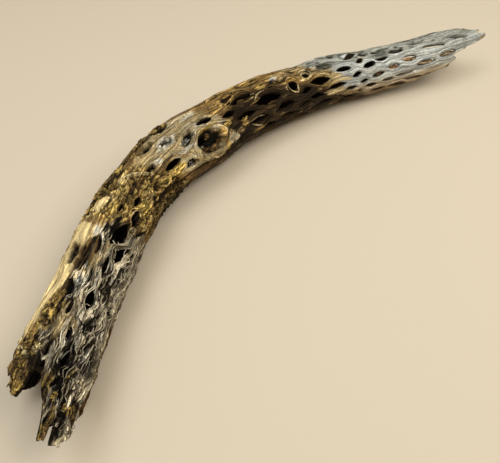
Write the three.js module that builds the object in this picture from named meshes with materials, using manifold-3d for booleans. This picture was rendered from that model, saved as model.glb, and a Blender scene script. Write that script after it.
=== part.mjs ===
import * as THREE from 'three';
import { mergeVertices } from 'three/addons/utils/BufferGeometryUtils.js';
import Module from 'manifold-3d';

// The dry skeleton of a cholla cactus limb: one hollow, bowed piece of woven wood with
// lens-shaped holes, lying on its underside. Millimetres, +Z up. +X runs from the thick near
// end to the thin bleached end, and +Y is the outside of the bow.
//
// A place on the limb is given by `along`, the distance on its centreline in mm, and `round`,
// the angle about it in degrees: 0 is the top, 90 the inside of the bow, -90 the outside.

// Driving dimensions. Each pair is a distance along the limb and the value there.
const headings = [
  [0, 32], [150, 29], [200, 25], [250, 10], [300, -2], [350, -3], [400, -11],
  [450, -17], [500, -19], [550, -28], [600, -31], [650, -27], [780, -13],
];
const radii = [
  [0, 33.5], [100, 31.5], [200, 32.5], [300, 35.5], [400, 33], [500, 30.5],
  [600, 28], [700, 27], [780, 22.5],
];
const walls = [[0, 10], [200, 10], [400, 9], [550, 7], [650, 6], [760, 4.5]];
const lift = { from: 560, over: 220, rise: 10, power: 1.5 };
const spineStart = { along: -40, x: -374, y: -76 };
const spineEnd = 790;
const spineStep = 1;
const underside = 1.2;

// Where the wood ends, as pairs of round and along.
const nearEdge = [
  [-180, 20], [-150, 28], [-135, 18], [-120, 13], [-105, 11], [-90, 22], [-75, 36], [-60, 42],
  [-45, 30], [-30, 6], [-15, -2], [0, 21], [15, 13], [30, -8], [45, -28], [60, -18],
  [75, -30], [90, -16], [105, 2], [135, 13], [165, 10], [180, 20],
];
const farEdge = [
  [-180, 590], [-150, 598], [-120, 620], [-90, 652], [-60, 680], [-30, 696], [-15, 711],
  [0, 722], [15, 735], [30, 745], [45, 753], [60, 712], [75, 696], [90, 690], [105, 656],
  [120, 636], [150, 604], [180, 590],
];
const endMiddles = { near: 8, far: 695 };
const skin = { columns: 24, rings: 26 };
const core = { columns: 9, rings: 15, from: -60, to: 790 };

// Broad swellings: along, round, reach along, reach round, rise. The first three are the
// feet that it rests on, the next the root of the knot and the crust below the bend.
const swellings = [
  [78, 180, 44, 46, 3.4], [352, 180, 56, 42, 3.4], [560, 180, 36, 44, 3],
  [318, 57, 34, 40, 2.5], [200, 20, 52, 90, 1.8], [226, 80, 40, 40, -2.5],
  [150, -40, 34, 40, 1.5], [440, 0, 60, 50, 1.2], [40, 70, 50, 40, 1.5],
];

// Open holes on the side that shows best: along, round, length in mm, width in degrees and
// the lean of the long axis in degrees.
const holes = [
  [33, 7, 13, 11, 0], [48, 24, 15, 9, 0], [30, 36, 16, 13, 8], [84, 35, 19, 12, 0],
  [120, 35, 20, 10, 8], [134, 51, 23, 19, 18], [153, 37, 29, 20, 14], [178, 48, 16, 23, 0],
  [195, 37, 11, 11, 0], [129, 4, 26, 15, 6],
  [262, 48, 24, 14, 4], [327, 16, 20, 12, 6], [318, 50, 31, 27, 0], [358, 31, 18, 12, 0],
  [385, 14, 34, 21, -4], [380, 52, 27, 15, 4], [418, 41, 38, 28, 4], [396, 72, 28, 16, 0],
  [439, 68, 27, 20, 0], [456, 34, 15, 28, 0], [479, 19, 11, 15, 0], [474, 54, 13, 13, 0],
  [496, 43, 28, 20, 6], [488, 77, 21, 15, 8], [519, 68, 30, 13, 0], [372, 0, 16, 8, -12],
  [440, 96, 26, 15, 0], [500, 100, 26, 12, 0], [410, 100, 22, 14, 0],
  [534, 33, 23, 13, 0], [550, -2, 19, 17, -24], [561, 18, 11, 14, -20], [573, 34, 18, 16, -12],
  [592, 26, 16, 11, -8], [552, 53, 13, 12, -16], [562, 72, 11, 11, -8], [583, 63, 17, 12, -6],
  [542, 83, 16, 8, 0], [573, 90, 18, 11, 0], [598, 85, 15, 10, 0], [586, 111, 23, 14, 8],
  [612, 109, 20, 13, 8], [621, 79, 22, 7, 0], [606, 52, 15, 13, 0], [629, 40, 20, 16, 0],
  [614, 13, 21, 12, 0], [605, -10, 11, 14, -10],
  [637, 102, 28, 11, 6], [652, 64, 28, 14, 0], [668, 26, 31, 11, 8], [684, 56, 24, 16, 0],
];

// Blind pits, on the same terms, with their depth after the lean.
const pits = [
  [70, 10, 13, 14, 0, 5], [60, 46, 15, 13, 0, 5], [88, -2, 16, 17, 0, 6],
  [122, -27, 20, 25, 0, 5], [238, 25, 13, 12, 0, 4],
  [226, 50, 18, 9, 0, 3], [253, -9, 20, 18, 0, 5], [285, -22, 22, 24, 0, 4],
  [273, 13, 20, 14, 0, 3], [294, 30, 22, 14, -20, 5], [283, 70, 22, 18, 0, 5],
  [508, 12, 25, 20, 0, 4],
  [704, 20, 29, 14, 16, 2.5],
];

// Narrow gaps between the frayed strands of the near end.
const splits = [
  [2, 54, 34, 6, -6], [14, 76, 40, 6, 4], [44, 60, 30, 5, 6], [52, 84, 44, 5, 0],
  [100, 50, 24, 5, 6], [108, 72, 40, 5, 4], [70, 26, 26, 4, 4], [226, 73, 56, 7, 4],
];

// The round rim of the knot, and the small raised forms: along, round, length, width in mm,
// height and lean.
const knot = { along: 318, round: 56, length: 17, width: 15, rim: 3.6 };
const lumps = [
  [-12, 58, 18, 12, 5, 0], [-20, 74, 14, 9, 5, 0], [16, -22, 22, 14, 4, 0],
  [172, 66, 22, 12, 4, 20], [178, -17, 20, 13, 3, 0], [222, 17, 34, 5, 3, 36],
  [350, 72, 18, 12, 5, 20], [196, 58, 18, 10, 4, 0], [262, 62, 24, 9, 3, 0],
];
const tissue = [[322, 66, 20, 16, 7, 0], [380, 56, 16, 10, 6, 0], [396, 19, 18, 12, 5, 0]];

// The weave on the sides that hardly show: rings of holes, each ring turned a little, and
// none where dried tissue closes the underside. Of each pair, the first is for the near part
// and the second for the far one.
const weave = {
  perRing: 5, turn: 30, from: 30, to: 640, change: 470, step: [33, 22],
  hidden: [122, 322], closed: [38, 18], spread: 5, length: [29, 21], width: [21, 17],
  lean: 8, clear: 18,
};

const degree = Math.PI / 180;
const wasm = await Module();
wasm.setup();

// A value between the stations of a table, with level tangents at each of them.
function between(table, at) {
  const last = table.length - 1;
  const x = THREE.MathUtils.clamp(at, table[0][0], table[last][0]);
  let i = 0;
  while (i < last - 1 && x >= table[i + 1][0]) i += 1;
  const t = THREE.MathUtils.smoothstep(x, table[i][0], table[i + 1][0]);
  return THREE.MathUtils.lerp(table[i][1], table[i + 1][1], t);
}

// The same with straight lines between the stations, for the edges of the wood.
function straightBetween(table, at) {
  let i = 0;
  while (i < table.length - 2 && at >= table[i + 1][0]) i += 1;
  const t = (at - table[i][0]) / (table[i + 1][0] - table[i][0]);
  return THREE.MathUtils.lerp(table[i][1], table[i + 1][1], t);
}

// The round angle brought into -180 to 180.
function wrapped(round) {
  return THREE.MathUtils.euclideanModulo(round + 180, 360) - 180;
}

// The centreline in plan, walked in short steps along the headings.
function walkSpine() {
  const points = [];
  let { along, x, y } = spineStart;
  while (along <= spineEnd) {
    points.push({ x, y });
    const heading = between(headings, along + spineStep / 2) * degree;
    x += spineStep * Math.cos(heading);
    y += spineStep * Math.sin(heading);
    along += spineStep;
  }
  return points;
}
const spine = walkSpine();

function spineAt(along) {
  const place = (along - spineStart.along) / spineStep;
  const i = THREE.MathUtils.clamp(Math.floor(place), 0, spine.length - 2);
  const t = place - i;
  return {
    x: THREE.MathUtils.lerp(spine[i].x, spine[i + 1].x, t),
    y: THREE.MathUtils.lerp(spine[i].y, spine[i + 1].y, t),
    heading: between(headings, along) * degree,
  };
}

function liftAt(along) {
  const t = THREE.MathUtils.clamp((along - lift.from) / lift.over, 0, 1);
  return lift.rise * t ** lift.power;
}

// The outer radius, with the broad swellings on the taper.
function radiusAt(along, round) {
  let radius = between(radii, along);
  for (const [at, middle, reachAlong, reachRound, rise] of swellings) {
    const far = Math.hypot((along - at) / reachAlong, wrapped(round - middle) / reachRound);
    if (far < 1) radius += rise * (1 - far * far) ** 2;
  }
  return radius;
}

function hollowRadiusAt(along) {
  return between(radii, along) - between(walls, along);
}

// A point in space from a place on the limb and its distance from the centreline.
function pointAt(along, round, radius) {
  const { x, y, heading } = spineAt(along);
  const side = radius * Math.sin(round * degree);
  const height = between(radii, along) + underside + liftAt(along);
  return new THREE.Vector3(
    x + side * Math.sin(heading),
    y - side * Math.cos(heading),
    height + radius * Math.cos(round * degree),
  );
}

// Moves every vertex of a geometry to where `where` sends it.
function moved(geometry, where) {
  geometry.deleteAttribute('normal');
  geometry.deleteAttribute('uv');
  const merged = mergeVertices(geometry, 1e-4);
  const position = merged.attributes.position;
  const vertex = new THREE.Vector3();
  for (let i = 0; i < position.count; i += 1) {
    vertex.fromBufferAttribute(position, i);
    const { x, y, z } = where(vertex);
    position.setXYZ(i, x, y, z);
  }
  return merged;
}

function solidFrom(geometry) {
  return new wasm.Manifold(new wasm.Mesh({
    numProp: 3,
    vertProperties: new Float32Array(geometry.attributes.position.array),
    triVerts: new Uint32Array(geometry.index.array),
  }));
}

// A round bar bent along the limb. `endsAt` gives where it starts and ends at a round angle,
// and in the middle of its two faces.
function tube({ columns, rings }, endsAt, outAt) {
  const bar = new THREE.CylinderGeometry(1, 1, 1, columns, rings);
  return solidFrom(moved(bar, (vertex) => {
    const out = Math.hypot(vertex.x, vertex.z);
    const round = Math.atan2(vertex.x, vertex.z) / degree;
    const [start, end] = endsAt(round, out > 0.5);
    const along = THREE.MathUtils.lerp(start, end, vertex.y + 0.5);
    return pointAt(along, round, out * outAt(along, round));
  }));
}

function woodEnds(round, onSkin) {
  if (!onSkin) return [endMiddles.near, endMiddles.far];
  return [straightBetween(nearEdge, round), straightBetween(farEdge, round)];
}

// Lays a geometry on the limb: its y runs along, its x round, and its z out from the skin.
function laidOn(geometry, at, middle, lean) {
  const turn = lean * degree;
  return solidFrom(moved(geometry, ({ x, y, z }) => {
    const along = at + y * Math.cos(turn) - x * Math.sin(turn);
    const aside = x * Math.cos(turn) + y * Math.sin(turn);
    const radius = radiusAt(along, middle);
    return pointAt(along, middle + aside / radius / degree, radius + z);
  }));
}

// A lens with two points along the grain, cut from `below` the skin to well above it.
function lensCut([at, middle, length, widthInDegrees, lean], below) {
  const above = 8;
  const width = widthInDegrees * degree * between(radii, at);
  const lens = new THREE.Shape([
    new THREE.Vector2(0, -length / 2),
    new THREE.Vector2(width / 2, -length / 6),
    new THREE.Vector2(width / 2, length / 6),
    new THREE.Vector2(0, length / 2),
    new THREE.Vector2(-width / 2, length / 6),
    new THREE.Vector2(-width / 2, -length / 6),
  ]);
  const prism = new THREE.ExtrudeGeometry(lens, { depth: below + above, bevelEnabled: false });
  prism.translate(0, 0, -below);
  return laidOn(prism, at, middle, lean);
}

function throughCut(hole) {
  return lensCut(hole, between(walls, hole[0]) + 4);
}

// A low rounded lump, half sunk in the skin.
function lump([at, middle, length, width, height, lean], sunk = 0) {
  const ball = new THREE.SphereGeometry(1, 6, 3);
  ball.rotateX(Math.PI / 2);
  ball.scale(width / 2, length / 2, height);
  ball.translate(0, 0, -sunk);
  return laidOn(ball, at, middle, lean);
}

function knotRim() {
  const ring = new THREE.TorusGeometry(1, knot.rim / knot.length, 4, 10);
  ring.scale(knot.width, knot.length, knot.length);
  return laidOn(ring, knot.along, knot.round, 0);
}

// A small repeatable offset between -1 and 1, so that the weave isn't too regular.
function uneven(ring, k, seed) {
  const wave = Math.sin(ring * 12.9 + k * 78.2 + seed * 37.7) * 43758.5;
  return 2 * (wave - Math.floor(wave)) - 1;
}

// The holes of the hidden sides, ring by ring, kept off the ends and the underside.
function weaveHoles() {
  const { hidden, closed, clear } = weave;
  const found = [];
  let ring = 0;
  for (let along = weave.from; along < weave.to; ring += 1) {
    const part = along > weave.change ? 1 : 0;
    for (let k = 0; k < weave.perRing; k += 1) {
      const spread = weave.spread * uneven(ring, k, 1);
      const round = THREE.MathUtils.euclideanModulo(
        ring * weave.turn + (k * 360) / weave.perRing + spread, 360);
      const at = along + 3 * uneven(ring, k, 2);
      const onWood = at > straightBetween(nearEdge, wrapped(round)) + clear
        && at < straightBetween(farEdge, wrapped(round)) - clear;
      const underneath = Math.abs(wrapped(round - 180)) < closed[part];
      if (round < hidden[0] || round > hidden[1] || underneath || !onWood) continue;
      const size = 1 + 0.2 * uneven(ring, k, 3);
      found.push([at, round, weave.length[part] * size, weave.width[part] * size, weave.lean]);
    }
    along += weave.step[part];
  }
  return found;
}

// Everything under the surface that the limb rests on.
function ground() {
  const slab = new THREE.BoxGeometry(1000, 400, 40);
  slab.translate(0, 0, -20);
  return solidFrom(moved(slab, (vertex) => vertex));
}

function limb() {
  let wood = tube(skin, woodEnds, radiusAt);
  for (const form of lumps) wood = wood.add(lump(form));
  wood = wood.add(knotRim());
  wood = wood.subtract(tube(core, () => [core.from, core.to], hollowRadiusAt));
  for (const hole of [...holes, ...weaveHoles()]) wood = wood.subtract(throughCut(hole));
  for (const split of splits) wood = wood.subtract(lensCut(split, 6));
  for (const pit of pits) wood = wood.subtract(lensCut(pit, pit[5]));
  for (const form of tissue) wood = wood.add(lump(form, 7));
  return wood.subtract(ground());
}

const weathered = new THREE.MeshStandardMaterial({
  color: 0x9a7a4c,
  roughness: 0.9,
  metalness: 0,
});

function meshOf(name, solid, material) {
  const { vertProperties, triVerts } = solid.getMesh();
  const geometry = new THREE.BufferGeometry();
  geometry.setAttribute('position', new THREE.BufferAttribute(vertProperties, 3));
  geometry.setIndex(new THREE.BufferAttribute(triVerts, 1));
  geometry.computeVertexNormals();
  const mesh = new THREE.Mesh(geometry, material);
  mesh.name = name;
  return mesh;
}

const skeletonWood = new THREE.Group();
skeletonWood.add(meshOf('branch', limb(), weathered));

export default skeletonWood;
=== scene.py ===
import math
import bmesh
import bpy
import numpy as np
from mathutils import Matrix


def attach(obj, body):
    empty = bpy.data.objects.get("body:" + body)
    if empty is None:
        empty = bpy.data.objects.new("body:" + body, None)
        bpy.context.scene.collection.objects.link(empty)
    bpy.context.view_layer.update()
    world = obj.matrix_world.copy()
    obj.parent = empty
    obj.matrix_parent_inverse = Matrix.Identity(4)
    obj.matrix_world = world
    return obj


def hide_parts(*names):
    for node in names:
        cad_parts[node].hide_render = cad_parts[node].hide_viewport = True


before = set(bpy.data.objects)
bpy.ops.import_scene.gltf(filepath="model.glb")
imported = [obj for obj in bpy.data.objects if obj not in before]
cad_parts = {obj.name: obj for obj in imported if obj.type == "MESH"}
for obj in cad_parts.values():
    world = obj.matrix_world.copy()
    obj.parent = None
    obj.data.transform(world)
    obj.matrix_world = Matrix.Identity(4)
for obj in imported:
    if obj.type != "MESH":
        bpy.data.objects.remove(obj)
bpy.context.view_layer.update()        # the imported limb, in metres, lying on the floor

# A place on the limb is `along` its centreline in mm and `round` it in degrees: 0 is the top,
# 90 the inside of the bow and -90 the outside. A row of a table starts with that place, or with
# the name of a colour and then the place. Where it differs, the table's comment says so.
mm = 0.001
degree = math.pi / 180
meanRadius = 32          # mm, for measures round the limb that needn't follow its taper

limb = {
    "headings": [(0, 32), (150, 29), (200, 25), (250, 10), (300, -2), (350, -3), (400, -11),
                 (450, -17), (500, -19), (550, -28), (600, -31), (650, -27), (780, -13)],
    "radii": [(0, 33.5), (100, 31.5), (200, 32.5), (300, 35.5), (400, 33), (500, 30.5),
              (600, 28), (700, 27), (780, 22.5)],
    "walls": [(0, 10), (200, 10), (400, 9), (550, 7), (650, 6), (760, 4.5)],
    "start": (-40, -374, -76),       # along, x, y
    "end": 790,
    "lift": (560, 220, 10, 1.5),     # from, over, rise, power
    "underside": 1.2,
    # along, round, reach along, reach round, rise: the three feet come first
    "swellings": [(78, 180, 44, 46, 3.4), (352, 180, 56, 42, 3.4), (560, 180, 36, 44, 3),
                  (318, 57, 34, 40, 2.5), (200, 20, 52, 90, 1.8), (226, 80, 40, 40, -2.5),
                  (150, -40, 34, 40, 1.5), (440, 0, 60, 50, 1.2), (40, 70, 50, 40, 1.5)],
}

feet = limb["swellings"][:3]

# Where the wood is torn off, as pairs of round and along.
ends = {
    "near": [(-180, 22), (-146, 28), (-138, 20), (-120, 13), (-108, 9), (-98, 14), (-88, 24),
             (-74, 37), (-60, 42), (-50, 38), (-44, 27), (-36, 12), (-28, 5), (-20, -1),
             (-12, -4), (-6, -1), (-3, 12), (2, 19), (8, 24), (13, 22), (16, 11), (21, 5),
             (28, -1), (33, -6), (37, -12), (40, -22), (43, -29), (47, -29), (49, -20),
             (52, -17), (60, -17), (63, -20), (66, -29), (76, -29), (82, -24), (88, -16), (100, -4),
             (112, 2), (132, 14), (156, 6), (180, 22)],
    "far": [(-180, 590), (-150, 598), (-120, 620), (-90, 652), (-60, 680), (-30, 696),
            (-15, 712), (0, 724), (8, 730), (14, 736), (19, 747), (27, 748), (31, 738),
            (35, 748), (39, 755), (51, 755), (55, 745), (58, 712), (61, 716), (64, 706),
            (66, 692), (70, 693), (76, 699), (86, 696), (91, 690), (96, 691), (101, 664),
            (104, 656), (110, 650), (122, 634), (150, 604), (180, 590)],
    "rag": (2.2, 1.2),               # how uneven the near and far tears are, mm
    "taper": (12, 7),                # how far back from them the wall is thinned, mm
}

# Open holes: length mm, width in degrees, lean in degrees, and 1 for a pointed lens down to
# 0.5 for an oval.
openHoles = [
    (33, 7, 13, 11, 0, 1), (48, 24, 15, 8, 0, 1), (30, 36, 16, 13, 8, 0.8), (84, 36, 19, 15, 0, 1),
    (120, 36, 20, 13, 8, 1), (135, 52, 23, 21, 18, 0.9), (154, 38, 30, 25, 14, 0.9),
    (178, 48, 16, 22, 0, 0.5), (195, 37, 11, 11, 0, 0.8), (180, 17, 10, 8, 0, 0.8), (262, 48, 24, 14, 4, 1),
    (327, 17, 21, 15, 6, 0.8), (311, 48, 17, 15, 0, 0.8), (358, 31, 18, 12, 0, 1), (385, 14, 34, 20, -4, 1),
    (380, 52, 27, 13, 4, 1), (418, 41, 38, 26, 4, 1), (396, 72, 28, 15, 0, 1), (439, 68, 27, 19, 0, 1),
    (456, 34, 15, 26, 0, 0.6), (479, 19, 11, 14, 0, 0.5), (474, 54, 13, 13, 0, 0.8),
    (496, 43, 28, 19, 6, 1), (488, 77, 22, 16, 8, 1), (519, 68, 30, 13, 0, 1), (372, 0, 16, 7, -12, 1),
    (440, 96, 26, 14, 0, 1), (500, 100, 26, 12, 0, 1), (410, 100, 22, 13, 0, 1), (365, 92, 20, 11, 0, 1),
    (468, 84, 18, 9, 0, 1), (534, 33, 22, 12, 0, 0.6), (550, -2, 19, 14, -24, 0.9),
    (561, 18, 11, 10, -20, 1), (573, 34, 18, 16, -12, 0.6), (592, 26, 17, 10, -8, 0.7),
    (552, 53, 13, 11, -16, 0.8), (562, 72, 11, 10, -8, 0.8), (583, 63, 17, 12, -6, 0.8),
    (542, 83, 16, 8, 0, 1), (573, 90, 18, 10, 0, 1), (598, 85, 15, 10, 0, 0.9), (586, 111, 23, 13, 8, 1),
    (612, 109, 20, 12, 8, 1), (556, 97, 8, 5, 0, 1), (621, 79, 22, 6, 0, 0.6), (606, 52, 15, 12, 0, 0.6),
    (629, 40, 20, 15, 0, 0.7), (614, 13, 21, 11, 0, 0.7), (605, -10, 11, 12, -10, 0.8),
    (527, -14, 11, 10, -10, 0.8), (568, 0, 9, 8, 0, 0.8), (585, 0, 8, 8, 0, 0.8), (637, 102, 28, 10, 6, 1),
    (652, 64, 28, 13, 0, 0.8), (668, 26, 31, 10, 8, 0.7), (685, 57, 23, 14, 0, 0.6),
    (540, 112, 18, 10, 6, 1),
]

# Narrow gaps between frayed strands, on the same terms.
splits = [
    (2, 54, 34, 5, -6, 1), (16, 74, 38, 4, 4, 1), (44, 60, 30, 4, 6, 1), (52, 84, 44, 4, 0, 1),
    (100, 50, 22, 4, 6, 1), (108, 72, 38, 4, 4, 1), (66, 30, 24, 3.5, 4, 1), (18, 26, 20, 4, 6, 1),
    (62, 62, 22, 3.5, 2, 1), (142, 66, 26, 4, 8, 1), (226, 73, 50, 5, 4, 1), (84, 96, 30, 4, 0, 1),
    (246, 84, 26, 4, 0, 1), (30, 100, 26, 4, 0, 1), (302, 92, 26, 4, 0, 1), (330, 98, 24, 3.5, 0, 1),
]

# Blind pits: length mm, width in degrees, lean, depth, lip.
pits = [
    (70, 10, 13, 14, 0, 5, 1.2), (60, 46, 15, 13, 0, 5, 1.2), (88, -2, 17, 17, 0, 6, 0.8),
    (83, 76, 12, 10, 0, 5, 0.6), (105, -15, 10, 9, 0, 2.5, 0.4), (122, -27, 21, 25, 0, 5, 0.8),
    (122, -1, 34, 13, 0, 3, 0.4), (133, 12, 22, 8, -6, 6, 1.6), (225, -4, 11, 9, 0, 2.5, 0.6),
    (238, 25, 14, 13, 0, 5, 1.2), (226, 50, 18, 9, 0, 3, 0.4), (253, -9, 21, 19, 0, 6, 1.2),
    (285, -22, 22, 24, 0, 4.5, 0.8), (273, 13, 20, 13, -6, 3, 0.8), (294, 31, 25, 17, -20, 5, 1.2),
    (283, 70, 22, 18, 0, 6, 1.2), (508, 12, 25, 20, 0, 2, 0.5), (498, -12, 11, 9, 0, 3, 0.5),
    (513, -22, 13, 12, 0, 3, 0.5), (645, 2, 27, 9, 0, 2.2, 0.4), (704, 20, 30, 13, 16, 2.4, 0.4),
    (130, 77, 12, 9, 0, 4, 0.4), (425, -14, 26, 10, 4, 2.6, 0.5), (466, -18, 22, 10, 0, 2.4, 0.5),
    (355, -20, 24, 12, 0, 2.6, 0.6), (10, -30, 12, 12, 0, 2.5, 0.8), (28, -20, 14, 12, 0, 3, 0.8),
    (56, -18, 12, 12, 0, 2.4, 0.6), (10, 34, 11, 9, 20, 6, 0.4), (21, 40, 13, 8, -14, 6, 0.3),
    (3, 45, 13, 9, 10, 6, 0.5), (40, 52, 13, 8, 14, 6, 0.4), (74, 57, 11, 7, -10, 5, 0.4),
    (97, 50, 13, 9, 12, 6, 0.4), (112, 61, 11, 7, 0, 5, 0.3), (19, 55, 10, 6, 12, 5, 0.3),
    (52, 38, 13, 6, -8, 5, 0.4), (140, 72, 12, 6, 0, 5, 0.3), (68, 78, 11, 7, 14, 5, 0.3),
    (100, 86, 12, 7, 0, 5, 0.3), (30, 82, 13, 7, -10, 5, 0.4), (104, 22, 12, 7, 0, 5, 0.4),
    (68, 22, 9, 5, 16, 4, 0.3), (-8, 56, 10, 7, 0, 5, 0.4), (64, -2, 10, 8, 0, 4, 0.5),
    (168, 52, 7, 8, 0, 5, 0.3), (214, -26, 26, 16, 10, 2.6, 0.3), (244, -32, 22, 14, 0, 3, 0.5),
    (372, -14, 18, 7, -10, 2.5, 0.4), (404, -18, 20, 6, 0, 2.2, 0.4), (446, -6, 14, 6, 8, 2.2, 0.3),
    (362, 10, 12, 6, -8, 3, 0.3), (426, 20, 9, 6, 0, 3, 0.4), (447, 14, 9, 5, 0, 3, 0.3),
]

# Low raised forms: length mm, width mm, height, lean.
raised = [
    (-12, 58, 18, 12, 4.5, 0), (-20, 74, 14, 9, 4.5, 0), (16, -22, 22, 14, 3.5, 0),
    (172, 66, 22, 12, 4, 20), (178, -17, 20, 13, 2.4, 0), (220, 13, 42, 5, 3.4, 43),
    (350, 72, 18, 11, 4.5, 20), (196, 58, 18, 10, 3.5, 0), (262, 62, 26, 8, 3, 0), (302, 66, 40, 5, 1.5, 0),
    (448, 8, 40, 9, 1.6, 0), (500, 30, 44, 8, 1.8, 8),
]
# Half its length and width, the limb's radius there, and its rim's and floor's height, in mm.
knot = {"at": 318, "round": 57, "long": 20, "wide": 16.5, "limb": 33, "rim": 3.0, "floor": 8}


def smoothstep(low, high, value):
    t = np.clip((value - low) / (high - low), 0, 1)
    return t * t * (3 - 2 * t)


# The value between the stations of a table, level at each of them.
def between(table, at):
    stations = np.array(table, float)
    x = np.clip(at, stations[0, 0], stations[-1, 0])
    i = np.searchsorted(stations[:, 0], x, side="right") - 1
    i = np.clip(i, 0, len(stations) - 2)
    t = smoothstep(stations[i, 0], stations[i + 1, 0], x)
    return stations[i, 1] + (stations[i + 1, 1] - stations[i, 1]) * t


def straightBetween(table, at):
    stations = np.array(table, float)
    return np.interp(at, stations[:, 0], stations[:, 1])


def wrapped(around):
    return (around + 180) % 360 - 180


# Repeatable random values, looked up by whole-number cells.
randomValues = np.random.default_rng(11).random(8192)
primes = (73856093, 19349663, 83492791)


def cellRandom(cells, seed):
    key = sum(cell * prime for cell, prime in zip(cells, primes))
    return randomValues[(key + seed * 7919) & 8191]


# Smooth noise between -1 and 1 at points in 3-D.
def noise(x, y, z, seed=0):
    cells = [np.floor(c).astype(np.int64) for c in (x, y, z)]
    parts = [c - f for c, f in zip((x, y, z), cells)]
    parts = [p * p * (3 - 2 * p) for p in parts]
    total = np.zeros(np.shape(x))
    for corner in range(8):
        steps = [(corner >> k) & 1 for k in range(3)]
        weight = np.ones(np.shape(x))
        for k in range(3):
            weight = weight * (parts[k] if steps[k] else 1 - parts[k])
        total += weight * cellRandom([cells[k] + steps[k] for k in range(3)], seed)
    return total * 2 - 1


# The same points on the limb's surface, counted in lumps of `long` by `wide` mm.
def barkPoints(along, around, long, wide):
    turn = around * degree
    return along / long, np.cos(turn) * meanRadius / wide, np.sin(turn) * meanRadius / wide


def barkNoise(along, around, long, wide, seed=0, count=1):
    x, y, z = barkPoints(along, around, long, wide)
    total = np.zeros(np.shape(x))
    for k in range(count):
        total += noise(x * 2 ** k, y * 2 ** k, z * 2 ** k, seed + k) / 2 ** k
    return total


# Packed lumps: how far each place is from the crack between two of them, and the lump's value.
def barkLumps(along, around, long, wide, seed=0):
    points = barkPoints(along, around, long, wide)
    cells = [np.floor(p).astype(np.int64) for p in points]
    first = np.full(np.shape(along), 9.0)
    second = np.full(np.shape(along), 9.0)
    value = np.zeros(np.shape(along))
    for step in np.ndindex(3, 3, 3):
        here = [cells[k] + step[k] - 1 for k in range(3)]
        away = [here[k] + cellRandom(here, seed + 3 * k + 1) - points[k] for k in range(3)]
        far = np.sqrt(sum(a * a for a in away))
        closer = far < first
        second = np.where(closer, first, np.minimum(second, far))
        value = np.where(closer, cellRandom(here, seed + 20), value)
        first = np.where(closer, far, first)
    return second - first, value


# The centreline in plan, walked in short steps along the headings.
spineAlong = np.arange(limb["start"][0], limb["end"] + 1.0)
turns = between(limb["headings"], spineAlong[:-1] + 0.5) * degree
spineX = limb["start"][1] + np.concatenate([[0], np.cumsum(np.cos(turns))])
spineY = limb["start"][2] + np.concatenate([[0], np.cumsum(np.sin(turns))])


def pointsAt(along, around, radius):
    heading = between(limb["headings"], along) * degree
    side = radius * np.sin(around * degree)
    liftFrom, liftOver, rise, power = limb["lift"]
    height = between(limb["radii"], along) + limb["underside"]
    height = height + rise * np.clip((along - liftFrom) / liftOver, 0, 1) ** power
    x = np.interp(along, spineAlong, spineX) + side * np.sin(heading)
    y = np.interp(along, spineAlong, spineY) - side * np.cos(heading)
    return np.stack([x, y, height + radius * np.cos(around * degree)], axis=-1)


# A smooth bump of height 1 that ends at the reach, for one place on the limb.
def bump(along, around, at, middle, reachAlong, reachRound):
    far = np.hypot((along - at) / reachAlong, wrapped(around - middle) / reachRound)
    return np.clip(1 - far * far, 0, 1) ** 2


# Patches of colour or texture: reach along in mm, reach round in degrees, strength.
def patches(rows, along, around):
    total = np.zeros(np.shape(along))
    for at, middle, reachAlong, reachRound, strength in rows:
        total = np.maximum(total, strength * bump(along, around, at, middle, reachAlong, reachRound))
    return total


print("stage: tables ready")

# The flat sheet, and how its fibres part round the holes.
weave = {
    "rows": 600, "columns": 150,
    "from": -36, "to": 758,
    # how closely the columns stand at each place round the limb
    "closeness": [(-180, 0.8), (-70, 0.85), (-40, 1.35), (100, 1.35), (125, 0.85), (180, 0.8)],
    "reach": (2.4, 6),       # the push of a hole reaches this many openings and mm round the limb
    "fade": 2.2,             # and this many half lengths along it
    "leastOpening": 0.3,     # mm
    "uneven": 0.26,
    "settling": 6,           # turns in which the holes find their slots
    # the holes that the tables leave out, on the hidden sides
    "hidden": (118, 326),    # degrees
    "hiddenAlong": (32.0, 660),
    "blind": (138, 278),     # where they don't go through
    "blindPit": (6, 5, 0.6),     # lean, depth and lip
    "clear": (7, 6),         # wood left at the near and the far tear, mm
    "clearOfFoot": (0.6, 24),    # share of its reach, degrees
    "ring": [(0, 21), (420, 20), (520, 12.5), (700, 11.5)],    # ring spacing along the limb
    "turn": 25.5,
    "perRing": 6,
    "length": [(0, 22), (420, 22), (540, 17), (700, 18)],
    "width": [(0, 15), (420, 16), (540, 13), (700, 12)],
    "seed": 5,
}

fineRound = np.linspace(-180, 180, 721)
closeness = straightBetween(weave["closeness"], (fineRound[1:] + fineRound[:-1]) / 2)
crowding = np.concatenate([[0], np.cumsum(closeness)])
columnLines = np.interp(np.linspace(0, crowding[-1], weave["columns"] + 1), crowding, fineRound)
columnMiddles = (columnLines[1:] + columnLines[:-1]) / 2


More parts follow.
